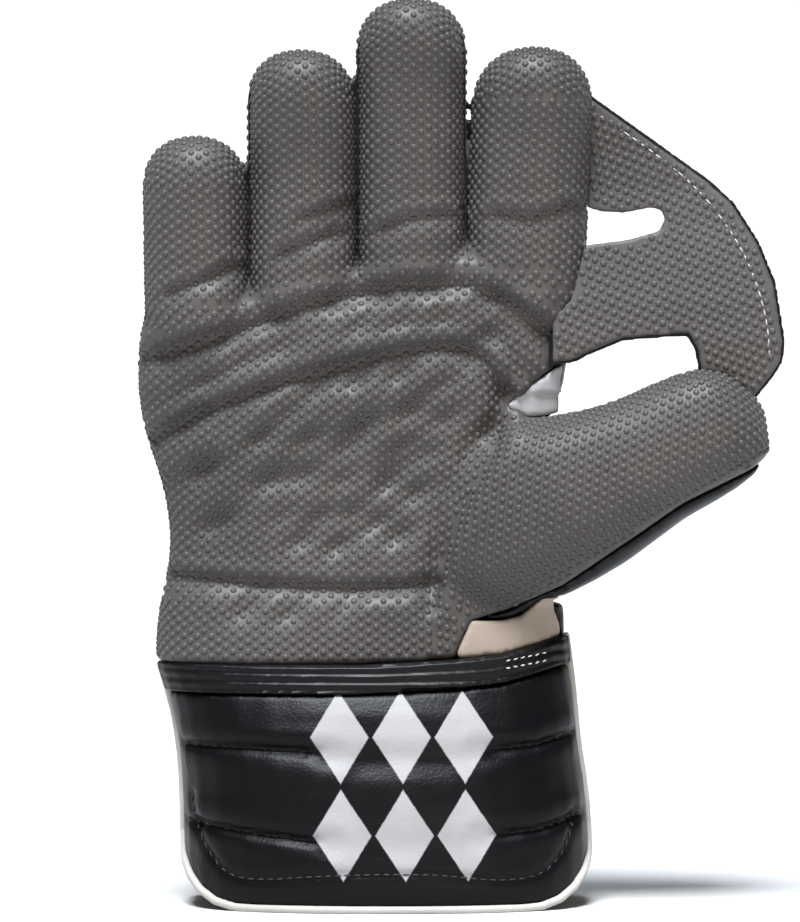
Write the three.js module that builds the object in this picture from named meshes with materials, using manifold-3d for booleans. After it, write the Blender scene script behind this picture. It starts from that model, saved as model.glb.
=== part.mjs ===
// A cricket wicketkeeping glove for the right hand, standing on its cuff with the palm
// facing -Y. Millimetres, +Z up. The hand is one hollow leather and rubber shell, cut into
// panels for the palm, the fingers and the thumb; the cuff is a padded tube below it.
import * as THREE from 'three';
import { mergeVertices } from 'three/addons/utils/BufferGeometryUtils.js';
import Module from 'manifold-3d';

const wasm = await Module();
wasm.setup();

// Driving sizes of the cuff
const CUFF_HEIGHT = 88;
const CUFF_BACK_RISE = 19;
const CUFF_WALL = 7;
const HEM_DEPTH = 90;
const WRIST_DEPTH = 58;
const BAND_HEIGHT = 10;
const BAND_RISE = 9;
const BAND_PUFF = 1.4;
const HEM_CORNER = 21;
const PIPING = 3.2;
const ROLL_PUFF = 2.6;

// Driving sizes of the hand
const HAND_WIDTH = 157;
const PALM_LENGTH = 142;
const PALM_DEPTH = 44;
const HAND_WALL = 5;
const KNUCKLE_CURL = 4;

// Fingers: width across, depth front to back, length beyond the knuckle line
const FINGER_DEPTH = 37;
const FINGER_CURL = 13;
const FINGER_SLIT = 1.6;
const LITTLE_WIDTH = 37;
const LITTLE_LENGTH = 41.6;
const RING_WIDTH = 38.6;
const RING_LENGTH = 72;
const MIDDLE_WIDTH = 39.2;
const MIDDLE_LENGTH = 90;
const INDEX_WIDTH = 42.4;
const INDEX_LENGTH = 73;

// Thumb and the catching web beside it
const THUMB_LENGTH = 134;
const THUMB_WIDTH = 47;
const THUMB_DEPTH = 42;
const THUMB_LEAN = THREE.MathUtils.degToRad(29.5);
const THUMB_SET_FORWARD = 22;
const WEB_REACH = 76;
const WEB_HEIGHT = 106;
const WEB_FACE = 2;
const WEB_BACK = 1.4;
const WEB_RIM = 1.2;
const WEB_SWEEP = 16;

// Folds and dimples pressed into the padding
const FOLD_DEPTH = 2.8;
const FOLD_WIDTH = 5;
const DIMPLE_DEPTH = 1.6;
const DIMPLE_WIDTH = 7;

// Clearance between sewn pieces, and how far back the side seams lie
const SEAM = 0.3;
const SEAM_SET_BACK = 3;

const KNUCKLE_HEIGHT = CUFF_HEIGHT + PALM_LENGTH;
const CUT_REACH = HAND_WIDTH / 2 + THUMB_LENGTH;
const SKY = KNUCKLE_HEIGHT + 2 * MIDDLE_LENGTH;

// Palm and wrist: up in palm lengths above the cuff, left and right in hand widths from the
// middle of the hand, front and back in palm depths
const PALM_SECTIONS = [
  { up: -0.06, left: -0.462, right: 0.455, front: 0.60, back: 0.66, slant: 0 },
  { up: 0.09, left: -0.457, right: 0.447, front: 0.55, back: 0.60, slant: 0 },
  { up: 0.27, left: -0.428, right: 0.440, front: 0.48, back: 0.54, slant: 0 },
  { up: 0.41, left: -0.442, right: 0.440, front: 0.46, back: 0.52, slant: 0 },
  { up: 0.59, left: -0.486, right: 0.441, front: 0.46, back: 0.50, slant: 0.2 },
  { up: 0.76, left: -0.500, right: 0.448, front: 0.43, back: 0.44, slant: 0.6 },
  { up: 0.90, left: -0.496, right: 0.480, front: 0.36, back: 0.37, slant: 0.9 },
  { up: 0.965, left: -0.486, right: 0.480, front: 0.22, back: 0.22, slant: 1 },
];
const PALM_TOP_SLANT = 0.21;

// Fingers: root and tip are middles in hand widths, reach is the length beyond the knuckles
const FINGERS = [
  { name: 'little', root: -0.368, tip: -0.376, width: LITTLE_WIDTH, reach: LITTLE_LENGTH },
  { name: 'ring', root: -0.130, tip: -0.136, width: RING_WIDTH, reach: RING_LENGTH },
  { name: 'middle', root: 0.113, tip: 0.112, width: MIDDLE_WIDTH, reach: MIDDLE_LENGTH },
  { name: 'index', root: 0.360, tip: 0.388, width: INDEX_WIDTH, reach: INDEX_LENGTH },
];
const FINGER_ROOT = 0.66;

// Shape of every finger: height of the tip's dome in half widths, share of the rows on the
// straight part, how far the dome turns, its bluntness, the narrower and thinner root, the
// length over which it swells out, and the taper towards the tip
const FINGER_SHAPE = {
  dome: 0.92, straight: 0.68, turn: 1.45, blunt: 0.85, rootWide: 0.7, rootDeep: 0.78, swell: 0.3,
  taper: 0.06,
};
const CURL_POWER = 1.6;

// Squareness of the cross sections: 2 is an ellipse
const PALM_SQUARENESS = 2.7;
const FINGER_SQUARENESS = 2.25;
const CUFF_SQUARENESS = 2.4;

// Facets round and along each form
const OUTSIDE_FACETS = { palm: [40, 17], finger: [16, 13], thumb: [20, 14], cuff: [36, 14] };
const HOLLOW_FACETS = { palm: [18, 7], finger: [8, 6], thumb: [10, 8], cuff: [18, 4] };
const CORNER_FACETS = 6;
const PIPING_SIDES = 6;
const PIPING_STEPS = 40;
const SIDE_STEPS = 4;
const HEM_STEPS = 8;
const SEAM_STEPS = [20, 27];
const WEB_STEPS = 16;
const MESH_TOLERANCE = 0.02;

// Heights at which the finger panels meet the palm, from the little finger's outer side over
// the three crotches to the index finger's outer side, in palm lengths, and how far the
// outermost two lie from the middle of the hand, in hand widths
const FINGER_SEAMS = [0.85, 0.90, 0.95, 1.00, 0.92];
const BESIDE_HAND = 0.6;

// Thumb: along in thumb lengths from its root in the palm, wide in thumb widths, deep in
// thumb depths, offset across the axis in thumb widths, forward in set-forwards
const THUMB_SECTIONS = [
  { along: 0.00, wide: 0.20, deep: 0.30, offset: -0.02, forward: 0.30 },
  { along: 0.04, wide: 0.56, deep: 0.52, offset: -0.01, forward: 0.32 },
  { along: 0.10, wide: 0.86, deep: 0.76, offset: 0.03, forward: 0.36 },
  { along: 0.16, wide: 1.08, deep: 0.90, offset: 0.07, forward: 0.41 },
  { along: 0.25, wide: 1.27, deep: 1.02, offset: 0.12, forward: 0.49 },
  { along: 0.34, wide: 1.36, deep: 1.09, offset: 0.13, forward: 0.58 },
  { along: 0.43, wide: 1.32, deep: 1.10, offset: 0.11, forward: 0.68 },
  { along: 0.53, wide: 1.19, deep: 1.05, offset: 0.06, forward: 0.79 },
  { along: 0.66, wide: 1.03, deep: 0.96, offset: 0.04, forward: 0.91 },
  { along: 0.82, wide: 0.97, deep: 0.87, offset: 0.02, forward: 1.00 },
  { along: 0.90, wide: 0.90, deep: 0.79, offset: 0.01, forward: 1.03 },
  { along: 0.955, wide: 0.70, deep: 0.60, offset: 0.00, forward: 1.04 },
  { along: 0.985, wide: 0.42, deep: 0.36, offset: -0.01, forward: 1.05 },
  { along: 1.00, wide: 0.12, deep: 0.10, offset: -0.01, forward: 1.05 },
];
const THUMB_ROOT = { across: 0.149, up: 0.165 };
const THUMB_ROW_EASING = 0.55;
const THUMB_BLUNT_END = 0.02;

// Where the side seam swings forward beside the thumb: across in hand widths, up in palm
// lengths, and its share of the thumb's set-forward
const THUMB_SEAM = {
  inner: 0.28, outer: 0.54, low: 0, lowFull: 0.14, highFull: 0.7, high: 0.86, share: 0.86,
};

// Cuff tube: up in cuff heights, left and right in hand widths, deep from wrist to hem
const CUFF_SECTIONS = [
  { up: 0.00, left: -0.404, right: 0.514, deep: 1.00 },
  { up: 0.26, left: -0.402, right: 0.513, deep: 0.94 },
  { up: 0.50, left: -0.406, right: 0.502, deep: 0.70 },
  { up: 0.67, left: -0.414, right: 0.487, deep: 0.44 },
  { up: 0.83, left: -0.432, right: 0.480, deep: 0.18 },
  { up: 0.99, left: -0.458, right: 0.466, deep: 0.00 },
  { up: 1.23, left: -0.462, right: 0.455, deep: 0.00 },
];

// Upper edge of the sewn band: across in hand widths, rise in band rises
const BAND_EDGE = [
  { across: -0.80, rise: 0 },
  { across: 0.00, rise: 0 },
  { across: 0.208, rise: 0.2 },
  { across: 0.319, rise: 0.4 },
  { across: 0.446, rise: 1 },
  { across: 0.56, rise: 1.3 },
  { across: 0.80, rise: 1.3 },
];
const BAND_LAP = 2;

// Height of the piping's middle above the hem, in piping widths
const PIPING_LIFT = 0.4;

// Sewn channels that divide the padded panel into three rolls, in cuff heights
const ROLL_SEAMS = [0.02, 0.275, 0.61, 0.86];

// Folds across the palm, each a chain of points in hand widths and palm lengths
const FOLDS = [
  [
    [-0.455, 0.758], [-0.296, 0.808], [-0.138, 0.873], [0.088, 0.93], [0.247, 0.933], [0.382, 0.843],
    [0.462, 0.783],
  ],
  [[-0.459, 0.553], [-0.251, 0.66], [-0.025, 0.733], [0.179, 0.775], [0.281, 0.733], [0.326, 0.658]],
  [[0.326, 0.658], [0.265, 0.463], [0.19, 0.288], [0.167, 0.208]],
  [[-0.41, 0.205], [-0.229, 0.188], [-0.07, 0.175], [0.156, 0.195]],
  [[-0.428, 0.913], [-0.353, 0.94], [-0.287, 0.978]],
  [[-0.179, 1.008], [-0.111, 1.038], [-0.048, 1.083]],
  [[0.043, 1.07], [0.111, 1.095], [0.174, 1.1]],
  [[0.314, 1.105], [0.45, 1.1]],
];

// Dimples that tie the palm padding down, in hand widths and palm lengths
const DIMPLES = [
  [-0.357, 0.688], [-0.165, 0.793], [0.095, 0.825], [0.328, 0.825],
  [-0.348, 0.453], [-0.33, 0.345], [-0.16, 0.45], [-0.106, 0.28],
  [0.057, 0.473], [0.154, 0.443], [0.115, 0.355], [0.066, 0.3],
];

// Outlines of the panels seen from the front, in hand widths and palm lengths
const RUBBER_EDGE = [
  [0.208, -0.2], [0.215, 0.013], [0.247, 0.093], [0.324, 0.118], [0.452, 0.183], [0.557, 0.263],
  [0.719, 0.388], [0.869, 0.470], [0.935, 0.52],
];
const CROTCH_NOTCH = [
  [0.326, 0.625], [0.443, 0.733], [0.50, 0.76], [0.50, 0.655], [0.452, 0.612], [0.38, 0.598],
];
const WRIST_GUSSET = [
  [0.215, 0.013], [0.247, 0.093], [0.314, 0.093], [0.36, 0.103], [0.389, 0.13], [0.407, 0.15],
];
const THUMB_BACK_EDGE = [[0.213, 0.02], [0.213, 0.13], [0.247, 0.338], [0.36, 0.53]];
const THUMB_FACE_EDGE = [
  [0.158, -0.2], [0.158, 0.138], [0.167, 0.208], [0.19, 0.288], [0.224, 0.375], [0.265, 0.463],
  [0.296, 0.538], [0.35, 0.615],
];

// Web outline from the index side round to the thumb, across in web reaches and up in web
// heights from the point where the web leaves the index finger lowest
const WEB_ORIGIN = { across: 0.47, up: 0.70 };
const WEB_HANG = { thumb: 0.72, finger: 1.3 };
const WEB_OUTLINE = [
  [-0.10, 0.972], [0.05, 0.972], [0.10, 0.935], [0.385, 0.79], [0.647, 0.655], [0.763, 0.58], [0.88, 0.447],
  [0.955, 0.312], [0.996, 0.118], [0.984, 0.045], [0.932, -0.01], [0.84, -0.09], [0.60, -0.12],
  [0.585, 0.045],
  [0.574, 0.09], [0.54, 0.132], [0.426, 0.128], [0.244, 0.118], [0.066, 0.065], [-0.10, -0.02],
];
const WEB_SLOT = [
  [0.03, 0.572], [0.147, 0.547], [0.248, 0.543], [0.37, 0.56], [0.421, 0.554], [0.44, 0.523],
  [0.413, 0.482],
  [0.268, 0.453], [0.161, 0.443], [0.02, 0.43],
];

// Where both thumb seams leave the crotch and pass above the thumb, along it in thumb lengths
// and aside from its axis in thumb widths
const ABOVE_THUMB = [[0.56, 0.72], [1.2, 0.9]];

const RUBBER_COLOUR = 0x625d5f;
const BLACK_COLOUR = 0x1a191c;
const WHITE_COLOUR = 0xe4dfda;
const CREAM_COLOUR = 0xb9a795;

// Turns a closed three.js geometry into a solid that can be cut
function solid(geometry) {
  geometry.deleteAttribute('normal');
  geometry.deleteAttribute('uv');
  const merged = mergeVertices(geometry, 1e-4);
  return new wasm.Manifold(new wasm.Mesh({
    numProp: 3,
    vertProperties: new Float32Array(merged.attributes.position.array),
    triVerts: new Uint32Array(merged.index.array),
  }));
}

// The mesh of a finished solid, without the needless corners that the cuts leave
function geometryOf(body) {
  const mesh = body.asOriginal().simplify(MESH_TOLERANCE).getMesh();
  const geometry = new THREE.BufferGeometry();
  geometry.setAttribute('position', new THREE.BufferAttribute(mesh.vertProperties, 3));
  geometry.setIndex(new THREE.BufferAttribute(mesh.triVerts, 1));
  geometry.computeVertexNormals();
  return geometry;
}

// Reads a table of sections as smooth curves of its columns
function curvesOf(table, along) {
  const columns = Object.keys(table[0]).filter((column) => column !== along);
  const places = table.map((row) => row[along]);
  const values = table.flatMap((row) => columns.map((column) => row[column]));
  const curve = new THREE.CubicInterpolant(places, values, columns.length);
  return (at) => {
    const found = curve.evaluate(THREE.MathUtils.clamp(at, places[0], places.at(-1)));
    return Object.fromEntries(columns.map((column, k) => [column, found[k]]));
  };
}

const palmAt = curvesOf(PALM_SECTIONS, 'up');
const thumbAt = curvesOf(THUMB_SECTIONS, 'along');
const cuffAt = curvesOf(CUFF_SECTIONS, 'up');

// A point on a rounded square of half width 1, from a point on the unit circle
function squared(across, front, power) {
  const reach = Math.hypot(across, front);
  if (reach < 1e-6) {
    return [0, 0];
  }
  const unit = (Math.abs(across / reach) ** power + Math.abs(front / reach) ** power) ** (-1 / power);
  return [across * unit, front * unit];
}

// A closed form with a row of points at each height, placed by a function of the section
function wrapForm(sides, rows, place) {
  const form = new THREE.CylinderGeometry(1, 1, 1, sides, rows);
  const spots = form.attributes.position;
  for (let k = 0; k < spots.count; k += 1) {
    const spot = place(spots.getX(k), spots.getZ(k), spots.getY(k) + 0.5);
    spots.setXYZ(k, spot.x, spot.y, spot.z);
  }
  return form;
}

// Points of the hand seen from the front, from hand widths and palm lengths
function handPoints(outline) {
  return outline.map(([across, up]) => (
    new THREE.Vector2(across * HAND_WIDTH, CUFF_HEIGHT + up * PALM_LENGTH)
  ));
}

// The pull-in of the folds and dimples at a point of the palm side, fading out round the sides
function pressedAt(x, z, deep) {
  if (deep <= 0) {
    return 0;
  }
  const spot = new THREE.Vector3(x, z, 0);
  const closest = new THREE.Vector3();
  let pressed = 0;
  for (const fold of FOLDS) {
    const points = handPoints(fold).map((point) => new THREE.Vector3(point.x, point.y, 0));
    for (let k = 1; k < points.length; k += 1) {
      new THREE.Line3(points[k - 1], points[k]).closestPointToPoint(spot, true, closest);
      const away = closest.distanceTo(spot) / FOLD_WIDTH;
      pressed = Math.max(pressed, FOLD_DEPTH * Math.exp(-(away ** 2)));
    }
  }
  for (const dimple of handPoints(DIMPLES)) {
    const away = Math.hypot(dimple.x - x, dimple.y - z) / DIMPLE_WIDTH;
    pressed = Math.max(pressed, DIMPLE_DEPTH * Math.exp(-(away ** 2)));
  }
  return pressed * THREE.MathUtils.smoothstep(deep, 0.2, 0.7);
}

// Curl of the fingers towards the palm side, growing beyond the knuckles
function curlAt(z) {
  const share = (z - KNUCKLE_HEIGHT) / MIDDLE_LENGTH;
  const beyond = Math.max(share, 0) ** CURL_POWER;
  return -KNUCKLE_CURL * THREE.MathUtils.smoothstep(share, -1, 0) - FINGER_CURL * beyond;
}

// Palm and wrist, shrunk by an inset for the inside of the wall
function palmForm([sides, rows], inset) {
  return wrapForm(sides, rows, (across, front, share) => {
    const lowest = PALM_SECTIONS[0].up;
    const highest = PALM_SECTIONS.at(-1).up;
    const up = lowest + (highest - lowest) * share;
    const row = palmAt(up);
    const [wide, deep] = squared(across, front, PALM_SQUARENESS);
    const halfWidth = (row.right - row.left) * HAND_WIDTH / 2 - inset;
    const middle = (row.right + row.left) * HAND_WIDTH / 2;
    const depth = (deep > 0 ? row.front : row.back) * PALM_DEPTH;
    const x = middle + wide * halfWidth;
    const z = CUFF_HEIGHT + up * PALM_LENGTH + row.slant * PALM_TOP_SLANT * x - inset * share;
    const y = curlAt(z) - deep * (depth - inset);
    return new THREE.Vector3(x, inset > 0 ? y : y + pressedAt(x, z, deep), z);
  });
}

// One finger with a domed tip
function fingerForm(finger, [sides, rows], inset) {
  const base = CUFF_HEIGHT + FINGER_ROOT * PALM_LENGTH + inset;
  const tip = KNUCKLE_HEIGHT + finger.reach - inset;
  const fullWidth = (finger.width - FINGER_SLIT / 2) / 2;
  const dome = (fullWidth - inset) * FINGER_SHAPE.dome;
  const { straight } = FINGER_SHAPE;
  return wrapForm(sides, rows, (across, front, share) => {
    const turn = Math.max(0, (share - straight) / (1 - straight)) * FINGER_SHAPE.turn;
    const along = Math.min(share / straight, 1);
    const z = base + (tip - dome - base) * along + dome * Math.sin(turn);
    const round = Math.cos(turn) ** FINGER_SHAPE.blunt;
    const [wide, deep] = squared(across, front, FINGER_SQUARENESS);
    const length = (z - base) / (tip - base);
    const middle = THREE.MathUtils.lerp(finger.root, finger.tip, length) * HAND_WIDTH;
    const swollen = THREE.MathUtils.smoothstep(length, 0, FINGER_SHAPE.swell);
    const fullDepth = FINGER_DEPTH * (1 - FINGER_SHAPE.taper * length) / 2;
    const halfDepth = fullDepth * THREE.MathUtils.lerp(FINGER_SHAPE.rootDeep, 1, swollen) - inset;
    const halfWidth = fullWidth * THREE.MathUtils.lerp(FINGER_SHAPE.rootWide, 1, swollen) - inset;
    const x = middle + wide * halfWidth * round;
    const y = curlAt(z) - deep * halfDepth * round;
    return new THREE.Vector3(x, inset > 0 ? y : y + pressedAt(x, z, deep), z);
  });
}

// A point seen from the front, from its distances along the thumb and aside from its axis
function thumbPoint(along, aside) {
  const root = new THREE.Vector2(
    THUMB_ROOT.across * HAND_WIDTH,
    CUFF_HEIGHT + THUMB_ROOT.up * PALM_LENGTH,
  );
  return new THREE.Vector2(along, aside).rotateAround(new THREE.Vector2(), THUMB_LEAN).add(root);
}

// The thumb with the swollen pad at its root
function thumbForm([sides, rows], inset) {
  return wrapForm(sides, rows, (across, front, share) => {
    const eased = (1 - Math.cos(Math.PI * share)) / 2;
    const along = THREE.MathUtils.lerp(share, eased, THUMB_ROW_EASING);
    const row = thumbAt(along);
    const [wide, deep] = squared(across, front, FINGER_SQUARENESS);
    const taper = Math.min(row.wide, 1);
    const smallest = THUMB_BLUNT_END * THUMB_WIDTH;
    const halfWidth = Math.max(row.wide * THUMB_WIDTH / 2 - inset * taper, smallest);
    const halfDepth = Math.max(row.deep * THUMB_DEPTH / 2 - inset * taper, smallest);
    const ends = THREE.MathUtils.lerp(inset, -inset, along);
    const reach = along * THUMB_LENGTH + ends;
    const aside = row.offset * THUMB_WIDTH - wide * halfWidth;
    const spot = thumbPoint(reach, aside);
    return new THREE.Vector3(spot.x, -row.forward * THUMB_SET_FORWARD - deep * halfDepth, spot.y);
  });
}

function depthOfCuff(up) {
  return THREE.MathUtils.lerp(WRIST_DEPTH, HEM_DEPTH, cuffAt(up).deep) / 2;
}

// Swelling of the three padded rolls between the sewn channels
function rollPuff(up) {
  for (let k = 1; k < ROLL_SEAMS.length; k += 1) {
    if (up < ROLL_SEAMS[k]) {
      const share = Math.max(0, (up - ROLL_SEAMS[k - 1]) / (ROLL_SEAMS[k] - ROLL_SEAMS[k - 1]));
      return ROLL_PUFF * Math.sin(Math.PI * share) ** 0.7;
    }
  }
  return 0;
}

// The cuff tube, drawn in by an inset; the outside is swollen into rolls
function cuffForm([sides, rows], inset) {
  const lowest = inset > 0 ? -0.1 : 0;
  const highest = (CUFF_HEIGHT + CUFF_BACK_RISE) / CUFF_HEIGHT + (inset > 0 ? 0.1 : 0);
  return wrapForm(sides, rows, (across, front, share) => {
    const up = lowest + (highest - lowest) * share;
    const row = cuffAt(up);
    const [wide, deep] = squared(across, front, CUFF_SQUARENESS);
    const halfWidth = (row.right - row.left) * HAND_WIDTH / 2 - inset;
    const middle = (row.right + row.left) * HAND_WIDTH / 2;
    const puff = inset > 0 ? 0 : rollPuff(up) * THREE.MathUtils.smoothstep(Math.abs(deep), 0.25, 0.8);
    const halfDepth = depthOfCuff(up) - inset + puff;
    return new THREE.Vector3(middle + wide * halfWidth, -deep * halfDepth, up * CUFF_HEIGHT);
  });
}

// Height of the sewn band's upper edge, which rises towards the thumb side
const bandAt = curvesOf(BAND_EDGE, 'across');
function bandTop(x) {
  return CUFF_HEIGHT - BAND_LAP + BAND_RISE * bandAt(x / HAND_WIDTH).rise;
}

// How far back the side seam lies: it follows the curl of the fingers and the thumb
function seamAt(x, z) {
  const { inner, outer, low, lowFull, highFull, high, share } = THUMB_SEAM;
  const aside = THREE.MathUtils.smoothstep(x / HAND_WIDTH, inner, outer);
  const above = (z - CUFF_HEIGHT) / PALM_LENGTH;
  const rising = THREE.MathUtils.smoothstep(above, low, lowFull);
  const falling = 1 - THREE.MathUtils.smoothstep(above, highFull, high);
  return curlAt(z) + SEAM_SET_BACK - THUMB_SET_FORWARD * share * aside * rising * falling;
}

// Everything in front of the side seam, moved back by a small step
function frontBlock(step) {
  const left = -HAND_WIDTH / 2 - CUFF_WALL;
  const right = THUMB_ROOT.across * HAND_WIDTH + THUMB_LENGTH + CUFF_WALL;
  const top = KNUCKLE_HEIGHT + MIDDLE_LENGTH + CUFF_WALL;
  const [across, upwards] = SEAM_STEPS;
  const block = new THREE.BoxGeometry(right - left, CUT_REACH, top + CUFF_WALL, across, 1, upwards);
  const spots = block.attributes.position;
  for (let k = 0; k < spots.count; k += 1) {
    const x = spots.getX(k) + (left + right) / 2;
    const z = spots.getZ(k) + (top - CUFF_WALL) / 2;
    const y = spots.getY(k) > 0 ? seamAt(x, z) + step : -CUT_REACH;
    spots.setXYZ(k, x, y, z);
  }
  return solid(block);
}

const SHARPEST_MITRE = 0.4;

// Moves every side of an outline outwards
function grown(points, by) {
  const turn = THREE.ShapeUtils.isClockWise(points) ? -1 : 1;
  return points.map((point, k) => {
    const before = point.clone().sub(points.at(k - 1)).normalize();
    const after = points[(k + 1) % points.length].clone().sub(point).normalize();
    const outward = new THREE.Vector2(before.y + after.y, -before.x - after.x).normalize();
    const open = Math.max(SHARPEST_MITRE, Math.sqrt((1 + before.dot(after)) / 2));
    return point.clone().addScaledVector(outward, turn * by / open);
  });
}

// A block with an outline seen from the front, reaching through the whole depth
function through(points, by = 0) {
  const shape = new THREE.Shape(by === 0 ? points : grown(points, by));
  const block = new THREE.ExtrudeGeometry(shape, { depth: 2 * CUT_REACH, bevelEnabled: false });
  block.rotateX(Math.PI / 2);
  block.translate(0, CUT_REACH, 0);
  return solid(block);
}

function webPoints(outline) {
  const originX = WEB_ORIGIN.across * HAND_WIDTH;
  const originZ = CUFF_HEIGHT + WEB_ORIGIN.up * PALM_LENGTH;
  return outline.map(([across, up]) => (
    new THREE.Vector2(originX + across * WEB_REACH, originZ + up * WEB_HEIGHT)
  ));
}

// The outside of the whole hand, or its hollow when drawn in by the wall
function handForm(facets, inset) {
  let form = solid(palmForm(facets.palm, inset));
  for (const finger of FINGERS) {
    form = form.add(solid(fingerForm(finger, facets.finger, inset)));
  }
  return form.add(solid(thumbForm(facets.thumb, inset)));
}

// Line between the panels of finger k and of the next one, from their seam with the palm up:
// it follows the slit to the tip of the shorter finger and then leaves the longer one free
function slitLine(k) {
  const seamZ = CUFF_HEIGHT + FINGER_SEAMS[k + 1] * PALM_LENGTH;
  if (k < 0 || k === FINGERS.length - 1) {
    const x = (k < 0 ? -1 : 1) * BESIDE_HAND * HAND_WIDTH;
    return [new THREE.Vector2(x, seamZ), new THREE.Vector2(x, SKY)];
  }
  const [before, after] = [FINGERS[k], FINGERS[k + 1]];
  const middle = (end) => (
    ((before[end] + after[end]) * HAND_WIDTH + (before.width - after.width) / 2) / 2
  );
  const shorter = before.reach < after.reach ? before : after;
  const leaving = shorter === before ? -shorter.width / 2 : shorter.width / 2;
  return [
    new THREE.Vector2(middle('root'), seamZ),
    new THREE.Vector2(middle('tip'), KNUCKLE_HEIGHT + shorter.reach - shorter.width / 4),
    new THREE.Vector2(middle('tip') + leaving, SKY),
  ];
}

// Outline of the panels of one finger
function fingerOutline(k) {
  return [...slitLine(k), ...slitLine(k - 1).reverse()];
}

// Outline of the panels of all fingers together
function fingersOutline() {
  const foot = FINGERS.map((finger, k) => slitLine(k)[0]);
  const top = slitLine(FINGERS.length - 1)[1];
  const [cornerLow, cornerHigh] = slitLine(-1);
  return [cornerLow, ...foot, top, cornerHigh];
}

function bandPlaces() {
  return BAND_EDGE.map((row) => row.across * HAND_WIDTH);
}

// The band's strip between two offsets below its upper edge, as an outline
function bandStrip(upper, lower) {
  const top = bandPlaces().map((x) => new THREE.Vector2(x, bandTop(x) + upper));
  const bottom = bandPlaces().map((x) => new THREE.Vector2(x, bandTop(x) + lower)).reverse();
  return [...top, ...bottom];
}

// Front panel outline of the cuff with round lower corners
function panelOutline() {
  const left = CUFF_SECTIONS[0].left * HAND_WIDTH;
  const right = CUFF_SECTIONS[0].right * HAND_WIDTH;
  const shape = new THREE.Shape();
  const shoulder = HEM_CORNER + PIPING;
  shape.moveTo(-CUT_REACH, 2 * CUFF_HEIGHT);
  shape.lineTo(-CUT_REACH, shoulder);
  shape.lineTo(left - SEAM, shoulder);
  shape.absarc(left + HEM_CORNER, HEM_CORNER, HEM_CORNER, Math.PI, 1.5 * Math.PI, false);
  shape.absarc(right - HEM_CORNER, HEM_CORNER, HEM_CORNER, 1.5 * Math.PI, 2 * Math.PI, false);
  shape.lineTo(right + SEAM, shoulder);
  shape.lineTo(CUT_REACH, shoulder);
  shape.lineTo(CUT_REACH, 2 * CUFF_HEIGHT);
  return shape.getPoints(CORNER_FACETS);
}

// How far forward or back the cuff's outside lies, at a distance from the middle of its width
function cuffDepthAt(aside, up) {
  const row = cuffAt(up);
  const share = Math.min(Math.abs(aside) / ((row.right - row.left) * HAND_WIDTH / 2), 1);
  const deep = (1 - share ** CUFF_SQUARENESS) ** (1 / CUFF_SQUARENESS);
  return deep * (depthOfCuff(up) + rollPuff(up));
}

// A point on the outside of the cuff, inwards from its left (-1) or right (1) side
function onCuff(facing, side, inwards, z) {
  const row = cuffAt(z / CUFF_HEIGHT);
  const middle = (row.right + row.left) * HAND_WIDTH / 2;
  const aside = (row.right - row.left) * HAND_WIDTH / 2 - inwards;
  const y = facing * cuffDepthAt(aside, z / CUFF_HEIGHT);
  const behindSeam = facing < 0 ? Math.min(SEAM_SET_BACK, y) : Math.max(SEAM_SET_BACK, y);
  return new THREE.Vector3(middle + side * aside, behindSeam, z);
}

// Where the piping lies: down one side, round the hem corners and up the other side
function pipingPath(facing, sideTop) {
  const rise = PIPING * PIPING_LIFT;
  const half = (side) => {
    const points = [];
    for (let k = 0; k < SIDE_STEPS; k += 1) {
      points.push(onCuff(facing, side, 0, THREE.MathUtils.lerp(sideTop(side), HEM_CORNER, k / SIDE_STEPS)));
    }
    for (let k = 0; k <= CORNER_FACETS; k += 1) {
      const turn = Math.PI / 2 * k / CORNER_FACETS;
      const inwards = HEM_CORNER * (1 - Math.cos(turn));
      points.push(onCuff(facing, side, inwards, HEM_CORNER + (rise - HEM_CORNER) * Math.sin(turn)));
    }
    return points;
  };
  const row = cuffAt(0);
  const reach = (row.right - row.left) * HAND_WIDTH / 2 - HEM_CORNER;
  const hem = [];
  for (let k = 1; k < HEM_STEPS; k += 1) {
    const aside = THREE.MathUtils.lerp(-reach, reach, k / HEM_STEPS);
    const middle = (row.right + row.left) * HAND_WIDTH / 2;
    hem.push(new THREE.Vector3(middle + aside, facing * cuffDepthAt(aside, 0), rise));
  }
  return new THREE.CatmullRomCurve3([...half(-1), ...hem, ...half(1).reverse()], false, 'centripetal');
}

function pipingSolid(path, clearance) {
  const ring = new THREE.Shape();
  ring.absarc(0, 0, PIPING / 2 + clearance, 0, 2 * Math.PI, false);
  const tube = new THREE.ExtrudeGeometry(new THREE.Shape(ring.getSpacedPoints(PIPING_SIDES)), {
    steps: PIPING_STEPS,
    extrudePath: path,
    bevelEnabled: false,
  });
  return solid(tube);
}

// Depth at which the web hangs: it runs from the index finger's side to the thumb's side
function webAt(z) {
  const above = (z - CUFF_HEIGHT) / PALM_LENGTH;
  const besideFinger = THREE.MathUtils.smoothstep(above, WEB_HANG.thumb, WEB_HANG.finger);
  return -KNUCKLE_CURL - WEB_SWEEP * (1 - besideFinger);
}

// One layer of the web between two distances behind the web's front
function webLayer(nearer, farther) {
  const layer = new THREE.BoxGeometry(2 * WEB_REACH, 1, 2 * WEB_HEIGHT, 1, 1, WEB_STEPS);
  layer.translate(
    WEB_ORIGIN.across * HAND_WIDTH + WEB_REACH / 2,
    0,
    CUFF_HEIGHT + WEB_ORIGIN.up * PALM_LENGTH + WEB_HEIGHT / 2,
  );
  const spots = layer.attributes.position;
  for (let k = 0; k < spots.count; k += 1) {
    spots.setY(k, webAt(spots.getZ(k)) + (spots.getY(k) > 0 ? farther : nearer));
  }
  return solid(layer);
}

// Everything above a line across the whole part
function above(line) {
  return through([...line, new THREE.Vector2(CUT_REACH, SKY), new THREE.Vector2(-CUT_REACH, SKY)]);
}

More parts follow.
